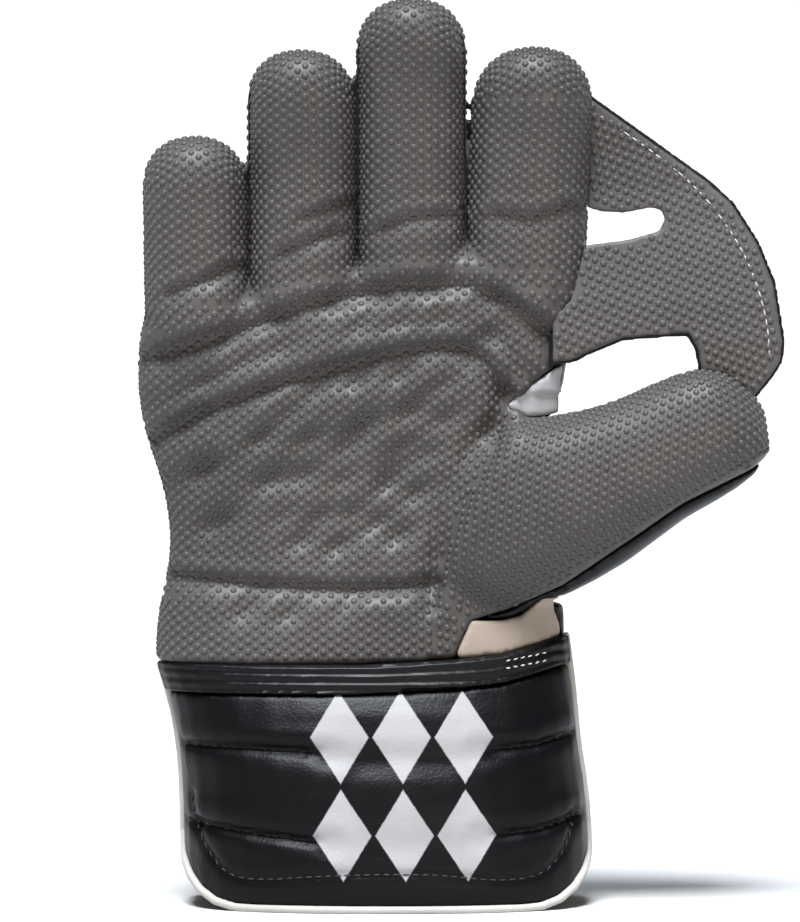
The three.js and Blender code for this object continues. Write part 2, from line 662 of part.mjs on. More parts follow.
function levelLine(height) {
  return [new THREE.Vector2(-CUT_REACH, height), new THREE.Vector2(CUT_REACH, height)];
}

const handOutside = handForm(OUTSIDE_FACETS, 0);
const handHollow = handForm(HOLLOW_FACETS, HAND_WALL);
const handCleared = handForm(OUTSIDE_FACETS, -SEAM);
const frontOfSeam = frontBlock(-SEAM / 2);
const upToSeam = frontBlock(SEAM / 2);

// Outlines that cut the hand's shell into its panels; each runs out past the glove's sides
const bandLine = bandPlaces().map((x) => new THREE.Vector2(x, bandTop(x) + SEAM));
const aboveBand = above([...bandLine, new THREE.Vector2(CUT_REACH, CUFF_HEIGHT)]);
const aboveRear = above(levelLine(CUFF_HEIGHT + CUFF_BACK_RISE + SEAM));
const ground = above(levelLine(0));
const notchOutline = handPoints(CROTCH_NOTCH);
const gussetOutline = handPoints([...WRIST_GUSSET, [0.60, 0.15], [0.60, -0.30], [0.215, -0.30]]);
const belowRubber = handPoints([...RUBBER_EDGE, [1.3, 0.52], [1.3, -0.2]]);
const aboveThumb = ABOVE_THUMB.map(([along, aside]) => (
  thumbPoint(along * THUMB_LENGTH, aside * THUMB_WIDTH)
));
const besideThumb = [new THREE.Vector2(CUT_REACH, aboveThumb[1].y), new THREE.Vector2(CUT_REACH, 0)];
const footOfSeam = new THREE.Vector2(THUMB_BACK_EDGE[0][0] * HAND_WIDTH, 0);
const thumbBackOutline = [...handPoints(THUMB_BACK_EDGE), ...aboveThumb, ...besideThumb, footOfSeam];
const thumbFaceOutline = [...handPoints(THUMB_FACE_EDGE), ...aboveThumb, ...besideThumb];
const allFingers = fingersOutline();

// Hand shell, cut into its panels along the seams
const shell = handOutside.subtract(handHollow);
const frontShell = shell.intersect(frontOfSeam).intersect(aboveBand);
const rearShell = shell.subtract(upToSeam).intersect(aboveRear);
const crotchGusset = frontShell.intersect(through(notchOutline));
const wristGusset = frontShell.intersect(through(gussetOutline));
const rubber = frontShell
  .subtract(through(notchOutline, SEAM))
  .subtract(through(gussetOutline, SEAM))
  .subtract(through(belowRubber, SEAM));
const palmFace = rubber
  .subtract(through(thumbFaceOutline, SEAM / 2))
  .subtract(through(allFingers, SEAM / 2));
const thumbFace = rubber.intersect(through(thumbFaceOutline, -SEAM / 2));
const handBack = rearShell
  .subtract(through(thumbBackOutline, SEAM))
  .subtract(through(allFingers, SEAM / 2));
const thumbUnder = shell
  .intersect(frontBlock(2 * SEAM))
  .intersect(through(belowRubber))
  .subtract(through(gussetOutline, SEAM))
  .intersect(aboveBand);
const thumbBack = rearShell.add(thumbUnder).intersect(through(thumbBackOutline));

// Catching web: a rubber face and a slightly larger leather back
const webOutline = webPoints(WEB_OUTLINE);
const webSlot = through(webPoints(WEB_SLOT));
const webFace = webLayer(0, WEB_FACE)
  .intersect(through(webOutline, -WEB_RIM))
  .subtract(webSlot)
  .subtract(handCleared);
const webBack = webLayer(WEB_FACE + SEAM, WEB_FACE + SEAM + WEB_BACK)
  .intersect(through(webOutline))
  .subtract(webSlot)
  .subtract(handCleared);

// Cuff: padded front and back panels, the sewn band and the piping
const cuffHollow = solid(cuffForm(HOLLOW_FACETS.cuff, CUFF_WALL));
const cuffTube = solid(cuffForm(OUTSIDE_FACETS.cuff, 0)).subtract(cuffHollow);
const bandTube = solid(cuffForm(OUTSIDE_FACETS.cuff, -BAND_PUFF)).subtract(cuffHollow);
const panel = through(panelOutline());
const frontPiping = pipingPath(-1, (side) => bandTop(side * HAND_WIDTH / 2) - 2 * SEAM);
const backPiping = pipingPath(1, () => HEM_CORNER + PIPING);
const frontGroove = pipingSolid(frontPiping, SEAM);
const backGroove = pipingSolid(backPiping, SEAM);
const cuffFront = cuffTube
  .intersect(frontOfSeam)
  .intersect(through(bandStrip(-BAND_HEIGHT - SEAM, -2 * CUFF_HEIGHT)))
  .intersect(panel)
  .subtract(frontGroove)
  .subtract(backGroove);
const cuffBand = bandTube
  .intersect(frontOfSeam)
  .intersect(through(bandStrip(0, -BAND_HEIGHT)))
  .subtract(frontGroove);
const cuffBack = cuffTube
  .subtract(upToSeam)
  .intersect(panel)
  .subtract(frontGroove)
  .subtract(backGroove);
const cuffPipingFront = pipingSolid(frontPiping, 0).intersect(ground);
const cuffPipingBack = pipingSolid(backPiping, 0).intersect(ground).subtract(frontGroove);

const glove = new THREE.Group();
function addPiece(name, body, colour, roughness) {
  const material = new THREE.MeshStandardMaterial({ color: colour, roughness, metalness: 0 });
  const mesh = new THREE.Mesh(geometryOf(body), material);
  mesh.name = name;
  glove.add(mesh);
}

addPiece('palm_face', palmFace, RUBBER_COLOUR, 0.6);
addPiece('thumb_face', thumbFace, RUBBER_COLOUR, 0.6);
addPiece('hand_back', handBack, BLACK_COLOUR, 0.5);
addPiece('thumb_back', thumbBack, BLACK_COLOUR, 0.5);
for (const [k, finger] of FINGERS.entries()) {
  const panels = through(fingerOutline(k), -SEAM / 2);
  addPiece(`${finger.name}_face`, rubber.intersect(panels), RUBBER_COLOUR, 0.6);
  addPiece(`${finger.name}_back`, rearShell.intersect(panels), BLACK_COLOUR, 0.5);
}
addPiece('crotch_gusset', crotchGusset, WHITE_COLOUR, 0.6);
addPiece('wrist_gusset', wristGusset, CREAM_COLOUR, 0.6);
addPiece('web_face', webFace, RUBBER_COLOUR, 0.6);
addPiece('web_back', webBack, BLACK_COLOUR, 0.5);
addPiece('cuff_band', cuffBand, BLACK_COLOUR, 0.5);
addPiece('cuff_front', cuffFront, BLACK_COLOUR, 0.45);
addPiece('cuff_back', cuffBack, BLACK_COLOUR, 0.5);
addPiece('cuff_piping_front', cuffPipingFront, WHITE_COLOUR, 0.6);
addPiece('cuff_piping_back', cuffPipingBack, WHITE_COLOUR, 0.6);

// The origin lies under the middle of the whole glove, on the surface that it stands on
const bounds = new THREE.Box3().setFromObject(glove);
const centre = bounds.getCenter(new THREE.Vector3());
glove.position.set(-centre.x, -centre.y, -bounds.min.z);
glove.updateMatrixWorld(true);

export default glove;
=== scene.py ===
"""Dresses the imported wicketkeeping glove: padded rubber palm, leather backs, web and gauntlet cuff."""

import math
import random

import bmesh
import bpy
import numpy as np
from bpy.props import FloatProperty, FloatVectorProperty, PointerProperty
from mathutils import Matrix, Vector, noise
from mathutils.bvhtree import BVHTree


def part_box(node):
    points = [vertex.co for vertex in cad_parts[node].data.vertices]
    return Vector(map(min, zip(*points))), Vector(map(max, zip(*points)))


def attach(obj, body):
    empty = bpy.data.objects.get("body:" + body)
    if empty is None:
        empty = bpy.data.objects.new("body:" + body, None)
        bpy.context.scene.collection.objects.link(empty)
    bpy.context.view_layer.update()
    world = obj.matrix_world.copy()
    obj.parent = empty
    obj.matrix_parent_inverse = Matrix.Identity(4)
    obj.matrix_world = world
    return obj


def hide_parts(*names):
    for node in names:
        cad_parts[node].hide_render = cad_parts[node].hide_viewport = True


bl_info = {
    "name": "Wicketkeeping Glove",
    "version": (1, 0, 0),
    "blender": (4, 5, 0),
    "location": "View3D > Sidebar > Glove",
    "description": "Builds the finish of a wicketkeeping glove around its packed solids",
    "category": "Object",
}

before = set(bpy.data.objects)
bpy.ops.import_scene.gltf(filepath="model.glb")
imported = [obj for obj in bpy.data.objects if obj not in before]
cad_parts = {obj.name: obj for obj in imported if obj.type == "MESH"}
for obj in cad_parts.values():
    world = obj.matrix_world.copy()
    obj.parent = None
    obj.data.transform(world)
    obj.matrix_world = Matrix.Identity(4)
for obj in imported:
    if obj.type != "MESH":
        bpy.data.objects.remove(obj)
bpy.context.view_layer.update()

# The photograph's frame: its size in pixels, the column of the glove's middle and the line of
# its hem, the real size of one pixel, and the camera's distance and rise above the horizontal
IMAGE_WIDTH = 800
IMAGE_HEIGHT = 922
MIDDLE_COLUMN = 461.5
HEM_LINE = 903.0
PIXEL = 0.000355
CAMERA_AWAY = 2.6
CAMERA_RISE = math.radians(2.0)
AIM_X = (IMAGE_WIDTH / 2 - MIDDLE_COLUMN) * PIXEL
AIM_Z = (HEM_LINE - IMAGE_HEIGHT / 2) * PIXEL

# Driving sizes of the hand, in metres, as in the part's source
HAND_WIDTH = 0.157
PALM_LENGTH = 0.142
CUFF_HEIGHT = 0.088
KNUCKLE_HEIGHT = CUFF_HEIGHT + PALM_LENGTH
HAND_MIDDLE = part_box("palm_face")[0][0] + HAND_WIDTH / 2

# Folds pressed across the palm side, as chains of points in hand widths from the middle of
# the hand and palm lengths above the cuff, with depth and half width in millimetres
PALM_FOLDS = [
    {"depth": 2.9, "wide": 3.2, "line": [
        (-0.50, 0.742), (-0.455, 0.758), (-0.296, 0.808), (-0.138, 0.873),
        (-0.014, 0.905), (0.088, 0.928), (0.247, 0.930), (0.314, 0.893),
        (0.382, 0.843), (0.462, 0.783)]},
    {"depth": 2.6, "wide": 2.8, "line": [
        (-0.50, 0.530), (-0.459, 0.553), (-0.364, 0.610), (-0.251, 0.660),
        (-0.138, 0.700), (-0.025, 0.733), (0.088, 0.763), (0.179, 0.775),
        (0.235, 0.770), (0.281, 0.733), (0.326, 0.658)]},
    {"depth": 2.4, "wide": 3.2, "line": [
        (0.326, 0.658), (0.296, 0.538), (0.265, 0.463), (0.224, 0.375),
        (0.190, 0.288), (0.167, 0.208), (0.161, 0.138)]},
    {"depth": 2.0, "wide": 2.4, "line": [
        (-0.47, 0.215), (-0.410, 0.205), (-0.229, 0.188), (-0.070, 0.175),
        (0.088, 0.180), (0.156, 0.195)]},
    {"depth": 1.6, "wide": 2.2, "line": [(-0.428, 0.913), (-0.353, 0.940), (-0.287, 0.978)]},
    {"depth": 1.4, "wide": 2.2, "line": [(-0.179, 1.008), (-0.111, 1.038), (-0.060, 1.060)]},
    {"depth": 1.2, "wide": 2.0, "line": [(-0.132, 1.098), (-0.070, 1.120), (-0.025, 1.140)]},
    {"depth": 1.6, "wide": 2.2, "line": [(0.043, 1.070), (0.111, 1.095), (0.190, 1.105)]},
    {"depth": 1.5, "wide": 2.4, "line": [(0.300, 1.105), (0.382, 1.093), (0.470, 1.125)]},
]

# Dimples that tie the palm padding down, as they were read in an enlarged cut of the
# photograph: column and row in that cut, and depth and radius in millimetres. Depth and radius
# were then judged again for all of them, and the palm stands forward of the glove's middle. The
# dimples are drawn out across the hand and rise towards the thumb
CUT_CORNER = (150, 270)
CUT_SCALE = 4.238
DIMPLE_FORWARD = 0.038
DIMPLE_DEEPER = 1.15
DIMPLE_NARROWER = 0.95
DIMPLE_STRETCH = 1.5
DIMPLE_SLOPE = 0.4
DIMPLE_READINGS = [
    (395, 385, 2.6, 4.6), (235, 470, 2.2, 4.8), (545, 325, 2.2, 4.8), (720, 255, 1.6, 4.4),
    (890, 220, 2.4, 4.8), (1060, 215, 1.6, 4.4), (1440, 275, 2.2, 5.0), (1240, 200, 1.2, 4.6),
    (575, 610, 2.6, 5.0), (465, 720, 2.6, 4.6), (700, 520, 2.6, 4.8), (870, 480, 2.4, 4.4),
    (665, 725, 2.4, 4.4), (900, 665, 3.0, 4.8), (835, 755, 2.4, 4.8), (1050, 450, 2.4, 4.4),
    (1105, 600, 3.0, 5.2), (1085, 745, 2.6, 4.6), (1250, 480, 2.2, 4.6), (1236, 640, 2.2, 4.8),
    (1035, 860, 2.6, 4.8), (1165, 790, 2.2, 4.6), (500, 895, 2.6, 4.8), (645, 875, 2.6, 5.0),
    (800, 900, 2.4, 5.2), (1005, 925, 2.4, 4.4), (1125, 950, 2.6, 4.8), (720, 1045, 2.6, 4.6),
    (850, 1040, 2.6, 4.8), (965, 1075, 3.0, 4.6), (1055, 1130, 2.2, 4.2), (800, 1170, 2.8, 4.6),
    (640, 1150, 2.0, 4.4), (560, 1050, 1.6, 4.4), (215, 860, 3.0, 5.0), (275, 1080, 3.0, 5.0),
    (330, 660, 1.6, 5.0), (410, 1440, 2.4, 4.8), (600, 1450, 2.4, 4.8), (820, 1440, 1.8, 4.8),
]

# Fingers: middle of root and tip across the hand in hand widths, padded width and length beyond
# the knuckle line in metres, and how far they curl forward
FINGERS = {
    "little_face": {"root": -0.368, "tip": -0.376, "width": 0.0370, "reach": 0.0416},
    "ring_face": {"root": -0.130, "tip": -0.136, "width": 0.0386, "reach": 0.0720},
    "middle_face": {"root": 0.113, "tip": 0.112, "width": 0.0392, "reach": 0.0900},
    "index_face": {"root": 0.360, "tip": 0.388, "width": 0.0424, "reach": 0.0730},
}
FINGER_CURL = 0.013
KNUCKLE_CURL = 0.004
CURL_POWER = 1.6
MIDDLE_REACH = FINGERS["middle_face"]["reach"]
# Radius of a rounded tip, as a share of the finger's or thumb's width
DOME_SHARE = 0.44

# Slits between the fingers, as the place across and the height of each crotch in metres
FINGER_SLITS = [(-0.0754, 0.2165), (-0.0371, 0.2240), (0.0012, 0.2310)]

# Thumb: its root in hand widths and palm lengths, its sizes in metres, its lean, and how far its
# middle stands forward at shares of its length
THUMB_ROOT = (0.149, 0.165)
THUMB_LENGTH = 0.134
THUMB_WIDTH = 0.043
THUMB_LEAN = math.radians(29.5)
THUMB_FORWARD = [(-0.3, 0.0066), (0.0, 0.0066), (0.16, 0.0090), (0.34, 0.0128), (0.53, 0.0174),
                 (0.66, 0.0200), (1.0, 0.0231)]

RUBBER_NODES = ("palm_face", "thumb_face", *FINGERS)
BACK_NODES = ("hand_back", "thumb_back", "little_back", "ring_back", "middle_back", "index_back")
TRIM_NODES = ("crotch_gusset", "wrist_gusset", "cuff_band", "web_back")

# Sewn lines of the cuff's front, in metres across and up as seen from the front
CUFF_CHANNELS = [
    [(-0.0985, 0.0577), (-0.0951, 0.0575), (-0.0742, 0.0572), (-0.0460, 0.0556)],
    [(-0.0975, 0.0308), (-0.0916, 0.0301), (-0.0742, 0.0277), (-0.0460, 0.0246)],
    [(0.0415, 0.0617), (0.0375, 0.0607), (0.0253, 0.0579), (0.0065, 0.0566)],
    [(0.0425, 0.0328), (0.0399, 0.0322), (0.0270, 0.0287), (0.0065, 0.0268)],
]
HEM_SEAM = [(-0.0955, 0.0401), (-0.0945, 0.0332), (-0.0909, 0.0234), (-0.0867, 0.0171), (-0.0822, 0.0129),
            (-0.0731, 0.0112), (-0.0491, 0.0133), (-0.0264, 0.0140), (-0.0075, 0.0137), (0.0127, 0.0112),
            (0.0270, 0.0122), (0.0347, 0.0185), (0.0382, 0.0262), (0.0392, 0.0340)]
BAND_TOP = [(-0.1039, 0.0895), (-0.0703, 0.0878), (-0.0289, 0.0878), (-0.0032, 0.0902), (0.0140, 0.0920),
            (0.0336, 0.0962)]
BAND_LOW = [(-0.0965, 0.0790), (-0.0569, 0.0790), (-0.0218, 0.0790), (0.0087, 0.0790), (0.0195, 0.0810),
            (0.0329, 0.0850)]
BAND_RIDGES = 3
BAND_STITCHES = [[(0.0150, 0.0873), (0.0301, 0.0899)], [(0.0150, 0.0846), (0.0301, 0.0872)]]

# Stitch line just inside the web's outer edge, and the seams across the back of the hand
WEB_SEAM = [(0.0487, 0.2795), (0.0663, 0.2676), (0.0811, 0.2558), (0.0911, 0.2443), (0.0997, 0.2308),
            (0.1048, 0.2175), (0.1077, 0.2053), (0.1082, 0.1960)]
BACK_SEAMS = [
    [(-0.455, 0.825), (-0.250, 0.870), (-0.010, 0.925), (0.228, 0.970), (0.440, 0.895)],
    [(-0.440, 0.300), (-0.150, 0.330), (0.150, 0.330)],
]

# Two outlines changed from the solids', in metres: how far the white notch reaches across the
# gap, how much less at its top and how far forward, and how far the web's lower corner is drawn
# up, with the places across and up between which each comes in
NOTCH_REACH = 0.0045
NOTCH_TAPER = 0.0026
NOTCH_FORWARD = 0.0015
NOTCH_ACROSS = (0.024, 0.034)
NOTCH_UP = (0.179, 0.1845)
CORNER_RISE = 0.0045
CORNER_ACROSS = (0.031, 0.043)
CORNER_UP = (0.188, 0.2)

# Printed block on the cuff: sides in hand widths, lower and upper edge in metres, and how far
# it leans per unit of height
PRINT_SIDES = (-0.108, 0.309)
PRINT_HEIGHTS = (0.0104, 0.0782)
PRINT_COLUMNS = 3
PRINT_ROWS = 2
PRINT_LEAN = 0.03

# Pimples: heights between which the palm has rows, and where the rows of the fingers and the
# thumb start; the line inside the palm that its rays start from, to either side in hand widths;
# the distance between rays, the widest step between two of their hits, the most columns to either
# side of a row's middle, the fan of rays at a row's ends in degrees, and how far the rows go round
# a tip
PALM_ROWS = (0.086, 0.240)
FINGER_ROWS_FROM = 0.205
THUMB_ROWS_FROM = -0.034
PALM_RAY_LINE = 0.36
RAY_STEP = 0.0015
WIDEST_JUMP = 0.006
MOST_COLUMNS = 40
FAN_STEP = 4.0
FAN_END = 116.0
DOME_END = math.radians(102)

# Width left bare along the rubber's sewn edges, the fewest pimples that a panel may have, the
# turn of the web's lattice in degrees, its middle, its rows to either side, and the places round a
# pimple that the web has to reach
EDGE_MARGIN = 0.0016
FEWEST_PIMPLES = 100
WEB_TURN = 12.0
WEB_MIDDLE = (0.070, 0.235)
WEB_LATTICE_ROWS = 60
WEB_PROBES = ((0, 0), (0.0014, 0), (-0.0014, 0), (0, 0.0014), (0, -0.0014))

# Stage: the floor's radius and the camera's far limit in metres, its sensor in millimetres, the
# sky's strength from the horizon up, and each light's kind, place, angle or side, power and colour
FLOOR_RADIUS = 25.0
FAR_CLIP = 20.0
SENSOR_WIDTH = 36.0
FLOOR_COLOUR = (0.57, 0.565, 0.56, 1.0)
SKY_FADE = {"From Min": 0.10, "From Max": 0.30, "To Min": 1.2, "To Max": 0.10}
LIGHT_TARGET = Vector((0, 0, 0.16))
LIGHTS = (
    ("high_sun", "SUN", (-0.16, -0.85, 2.1), 22.0, 8.0, (0.92, 0.96, 1.0)),
    ("crown_softbox", "AREA", (0.15, -0.2, 1.7), 0.6, 13.0, (0.70, 0.84, 1.0)),
    ("low_fill", "AREA", (0.5, -1.7, 0.12), 0.7, 7.0, (1.0, 0.78, 0.56)),
)


def hand_point(across, up):
    """Place of a point given in hand widths and palm lengths, as x and z in metres."""
    return HAND_MIDDLE + across * HAND_WIDTH, CUFF_HEIGHT + up * PALM_LENGTH


def dimple(column, row, depth, radius):
    """A reading as a place in hand widths and palm lengths, with depth and radius."""
    nearer = 1 - DIMPLE_FORWARD / CAMERA_AWAY
    x = (CUT_CORNER[0] + column / CUT_SCALE - MIDDLE_COLUMN) * PIXEL
    z = (HEM_LINE - CUT_CORNER[1] - row / CUT_SCALE) * PIXEL
    x = AIM_X + (x - AIM_X) * nearer
    z = AIM_Z + (z - AIM_Z) * nearer + DIMPLE_FORWARD * math.sin(CAMERA_RISE)
    across, up = (x - HAND_MIDDLE) / HAND_WIDTH, (z - CUFF_HEIGHT) / PALM_LENGTH
    return round(across, 3), round(up, 3), round(depth * DIMPLE_DEEPER, 1), round(radius * DIMPLE_NARROWER, 1)


def smoothstep(low, high, value):
    share = np.clip((value - low) / (high - low), 0.0, 1.0)
    return share * share * (3 - 2 * share)


def curl_at(z):
    """How far the fingers curl towards the palm side at a height."""
    share = (z - KNUCKLE_HEIGHT) / MIDDLE_REACH
    return -KNUCKLE_CURL * smoothstep(-1, 0, share) - FINGER_CURL * np.maximum(share, 0) ** CURL_POWER


class Value:
    """A shader value that plain Python maths can be written with."""

    def __init__(self, finish, socket):
        self.finish = finish
        self.socket = socket

    def _maths(self, operation, first, second):
        node = self.finish.node("ShaderNodeMath", {"operation": operation}, {0: first, 1: second})
        return Value(self.finish, node.outputs[0])

    def __add__(self, other):
        return self._maths("ADD", self, other)

    __radd__ = __add__

    def __sub__(self, other):
        return self._maths("SUBTRACT", self, other)

    def __rsub__(self, other):
        return self._maths("SUBTRACT", other, self)

    def __mul__(self, other):
        return self._maths("MULTIPLY", self, other)

    __rmul__ = __mul__

    def __truediv__(self, other):
        return self._maths("DIVIDE", self, other)

    def wrapped(self, period):
        return self._maths("PINGPONG", self, period)

    def over(self, limit):
        return self._maths("GREATER_THAN", self, limit)

    def stepped(self, low, high):
        node = self.finish.node("ShaderNodeMapRange", {"interpolation_type": "SMOOTHSTEP", "clamp": True},
                                {"Value": self, "From Min": low, "From Max": high})
        return Value(self.finish, node.outputs["Result"])


# The frame already holds plain materials under the slots' names
FINISH_PREFIX = "glove_"

# How strongly the finishes mirror, how deep the leather's grain is in metres, and the colour of
# the dark thread
RUBBER_SHEEN = 0.26
LEATHER_SHEEN = 0.16
PRINT_SHEEN = 0.12
LEATHER_RELIEF = 0.00016
DARK_THREAD = (0.007, 0.0066, 0.0075)


class Finish:
    """One procedural material, whose nodes are all made by one method."""

    def __init__(self, name):
        self.material = bpy.data.materials.new(FINISH_PREFIX + name)
        self.material.use_nodes = True
        self.tree = self.material.node_tree
        self.shader = self.tree.nodes["Principled BSDF"]
        coordinates = self.tree.nodes.new("ShaderNodeTexCoord")
        self.place = coordinates.outputs["Object"]

    def node(self, kind, settings=None, values=None):
        node = self.tree.nodes.new(kind)
        for name, setting in (settings or {}).items():
            setattr(node, name, setting)
        for key, value in (values or {}).items():
            self.feed(node.inputs[key], value)
        return node

    def feed(self, socket, value):
        if isinstance(value, Value):
            value = value.socket
        if isinstance(value, bpy.types.NodeSocket):
            self.tree.links.new(value, socket)
        else:
            socket.default_value = value

    def noise(self, scale, detail=2.0, rough=0.5):
        node = self.node("ShaderNodeTexNoise", None, {
            "Vector": self.place, "Scale": scale, "Detail": detail, "Roughness": rough})
        return Value(self, node.outputs[0])

    def cells(self, scale):
        node = self.node("ShaderNodeTexVoronoi", {"feature": "SMOOTH_F1"}, {
            "Vector": self.place, "Scale": scale})
        return Value(self, node.outputs["Distance"])

    def part(self, axis):
        node = self.node("ShaderNodeSeparateXYZ", None, {"Vector": self.place})
        return Value(self, node.outputs[axis])

    def facing(self, axis):
        node = self.node("ShaderNodeNewGeometry")
        split = self.node("ShaderNodeSeparateXYZ", None, {"Vector": node.outputs["Normal"]})
        return Value(self, split.outputs[axis])

    def blend(self, share, first, second):
        node = self.node("ShaderNodeMix", {"data_type": "RGBA"}, {"Factor": share, "A": first, "B": second})
        return node.outputs["Result"]

    def wear(self, colour, amount, scale):
        """A colour that drifts a little darker and lighter over the surface."""
        light = (*(min(1.0, part * (1 + amount * 2)) for part in colour), 1.0)
        dark = (*(part * (1 - amount * 2) for part in colour), 1.0)
        return self.blend(self.noise(scale, 3.0).stepped(0.35, 0.65), dark, light)

    def relief(self, height, distance, strength):
        node = self.node("ShaderNodeBump", None, {
            "Height": height, "Distance": distance, "Strength": strength})
        self.feed(self.shader.inputs["Normal"], node.outputs["Normal"])

    def set(self, **values):
        for name, value in values.items():
            self.feed(self.shader.inputs[name.replace("_", " ")], value)


def grip_rubber(settings):
    """Satin grey rubber with a fine uneven skin."""
    finish = Finish("grip_rubber")
    colour = finish.wear(settings.rubber, 0.06, 14.0)
    finish.set(Base_Color=colour, Roughness=0.40 + 0.14 * finish.noise(60.0, 3.0))
    finish.relief(finish.noise(900.0, 3.0, 0.6) + 0.6 * finish.noise(2600.0, 1.0), 0.00012, 0.5)
    finish.set(Specular_IOR_Level=RUBBER_SHEEN)
    return finish.material


def grained_leather(name, colour, rough=0.42, drift=0.06):
    """Leather with a fine pebbled grain and soft creases."""
    finish = Finish(name)
    base = finish.wear(colour, drift, 18.0)
    grain = finish.cells(950.0)
    creases = finish.noise(120.0, 4.0, 0.62)
    finish.set(Base_Color=base, Roughness=rough - 0.06 + 0.12 * finish.noise(70.0, 2.0))
    finish.relief(0.3 * grain + creases, LEATHER_RELIEF, 0.5)
    finish.set(Specular_IOR_Level=LEATHER_SHEEN)
    return finish.material


def printed_leather(settings):
    """The cuff's black leather with a block of white harlequin lozenges printed on its front."""
    finish = Finish("cuff_print_leather")
    left, right = (hand_point(across, 0)[0] for across in PRINT_SIDES)
    low, high = PRINT_HEIGHTS
    x, z = finish.part("X"), finish.part("Z")
    lean = PRINT_LEAN * (z - low)
    along = (x - left + lean) / (right - left) * PRINT_COLUMNS
    above = (z - low) / (high - low) * PRINT_ROWS
    inside = (along * (PRINT_COLUMNS - along)).over(0.0) * (above * (PRINT_ROWS - above)).over(0.0)
    across_cell = along.wrapped(0.5)
    up_cell = above.wrapped(0.5)
    ragged = 0.03 * (finish.noise(420.0, 3.0, 0.7) - 0.5)
    lozenge = (across_cell + up_cell + ragged).stepped(0.515, 0.545)
    front = (finish.facing("Y") * -1.0).stepped(0.05, 0.2)
    mask = inside * lozenge * front
    black = finish.wear(settings.cuff, 0.08, 16.0)
    white = finish.wear(settings.printed, 0.02, 30.0)
    finish.set(Base_Color=finish.blend(mask, black, white),
               Roughness=0.36 + 0.1 * finish.noise(60.0, 2.0) + 0.1 * mask)
    creases = finish.noise(70.0, 5.0, 0.6)
    grain = finish.cells(1050.0)
    finish.relief(1.1 * creases + 0.4 * grain + 0.12 * mask, 0.00035, 0.55)
    finish.set(Specular_IOR_Level=PRINT_SHEEN)
    return finish.material


def twisted_thread(name, colour):
    """Sewing thread with a slight twist."""
    finish = Finish(name)
    finish.set(Base_Color=finish.wear(colour, 0.06, 200.0), Roughness=0.6)
    finish.relief(finish.noise(3200.0, 1.0), 0.0001, 0.5)
    return finish.material


def material(name, make):
    """A finish that is made once and shared."""
    return bpy.data.materials.get(FINISH_PREFIX + name) or make()


def link(piece):
    bpy.context.scene.collection.objects.link(piece)
    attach(piece, "root")
    return piece


def merged_copy(*nodes):
    """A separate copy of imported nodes' meshes, with their loose triangles joined."""
    shape = bmesh.new()
    for node in nodes:
        shape.from_mesh(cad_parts[node].data)
    bmesh.ops.remove_doubles(shape, verts=shape.verts, dist=1e-6)
    return shape


def mesh_piece(name, shape):
    mesh = bpy.data.meshes.new(name)
    shape.to_mesh(mesh)
    shape.free()
    return bpy.data.objects.new(name, mesh)


def apply_modifiers(piece):
    """Leaves the result of the modifiers in the mesh itself."""
    graph = bpy.context.evaluated_depsgraph_get()
    result = bpy.data.meshes.new_from_object(piece.evaluated_get(graph))
    piece.modifiers.clear()
    old = piece.data
    piece.data = result
    bpy.data.meshes.remove(old)


def padded_copy(nodes, name, voxel, rounds, swell=0.0, close=0.0):
    """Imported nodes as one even, softly rounded mesh. It is swollen to make up for the smoothing,
    and close widens each node first, so that panels a hair apart become one."""
    piece = link(mesh_piece(name, merged_copy(*nodes)))
    if close:
        shift_points(piece, lambda points, normals: np.full(len(points), close))
    remesh = piece.modifiers.new("even", "REMESH")
    remesh.mode = "VOXEL"
    remesh.voxel_size = voxel
    remesh.adaptivity = 0.0
    bpy.context.view_layer.update()
    apply_modifiers(piece)
    shape = bmesh.new()
    shape.from_mesh(piece.data)
    for _ in range(rounds):
        bmesh.ops.smooth_vert(shape, verts=shape.verts, factor=0.5,
                              use_axis_x=True, use_axis_y=True, use_axis_z=True)
    shape.to_mesh(piece.data)
    shape.free()
    if swell:
        shift_points(piece, lambda points, normals: np.full(len(points), swell))
    piece.data.shade_smooth()
    return piece


def points_of(piece):
    mesh = piece.data
    points = np.empty(len(mesh.vertices) * 3)
    mesh.vertices.foreach_get("co", points)
    normals = np.empty(len(mesh.vertices) * 3)
    mesh.vertex_normals.foreach_get("vector", normals)
    return points.reshape(-1, 3), normals.reshape(-1, 3)


def shift_points(piece, amount):
    """Moves each point along its normal by the amount that a function gives for all of them."""
    points, normals = points_of(piece)
    moved = points + normals * amount(points, normals)[:, None]
    piece.data.vertices.foreach_set("co", moved.ravel())
    piece.data.update()


def move_points(piece, step):
    """Moves each point by the step that a function gives for all of them."""
    points, _ = points_of(piece)
    piece.data.vertices.foreach_set("co", (points + step(points)).ravel())
    piece.data.update()


def widened_notch(points):
    """Lets the white notch reach across the gap, in front of the back's edge."""
    step = np.zeros_like(points)
    share = smoothstep(*NOTCH_ACROSS, points[:, 0])
    step[:, 0] = (NOTCH_REACH - NOTCH_TAPER * smoothstep(*NOTCH_UP, points[:, 2])) * share
    step[:, 1] = -NOTCH_FORWARD * share
    return step


def blunted_corner(points):
    """Draws the web's lower corner up beside the index finger."""
    step = np.zeros_like(points)
    beside = 1 - smoothstep(*CORNER_ACROSS, points[:, 0])
    step[:, 2] = CORNER_RISE * beside * (1 - smoothstep(*CORNER_UP, points[:, 2]))
    return step


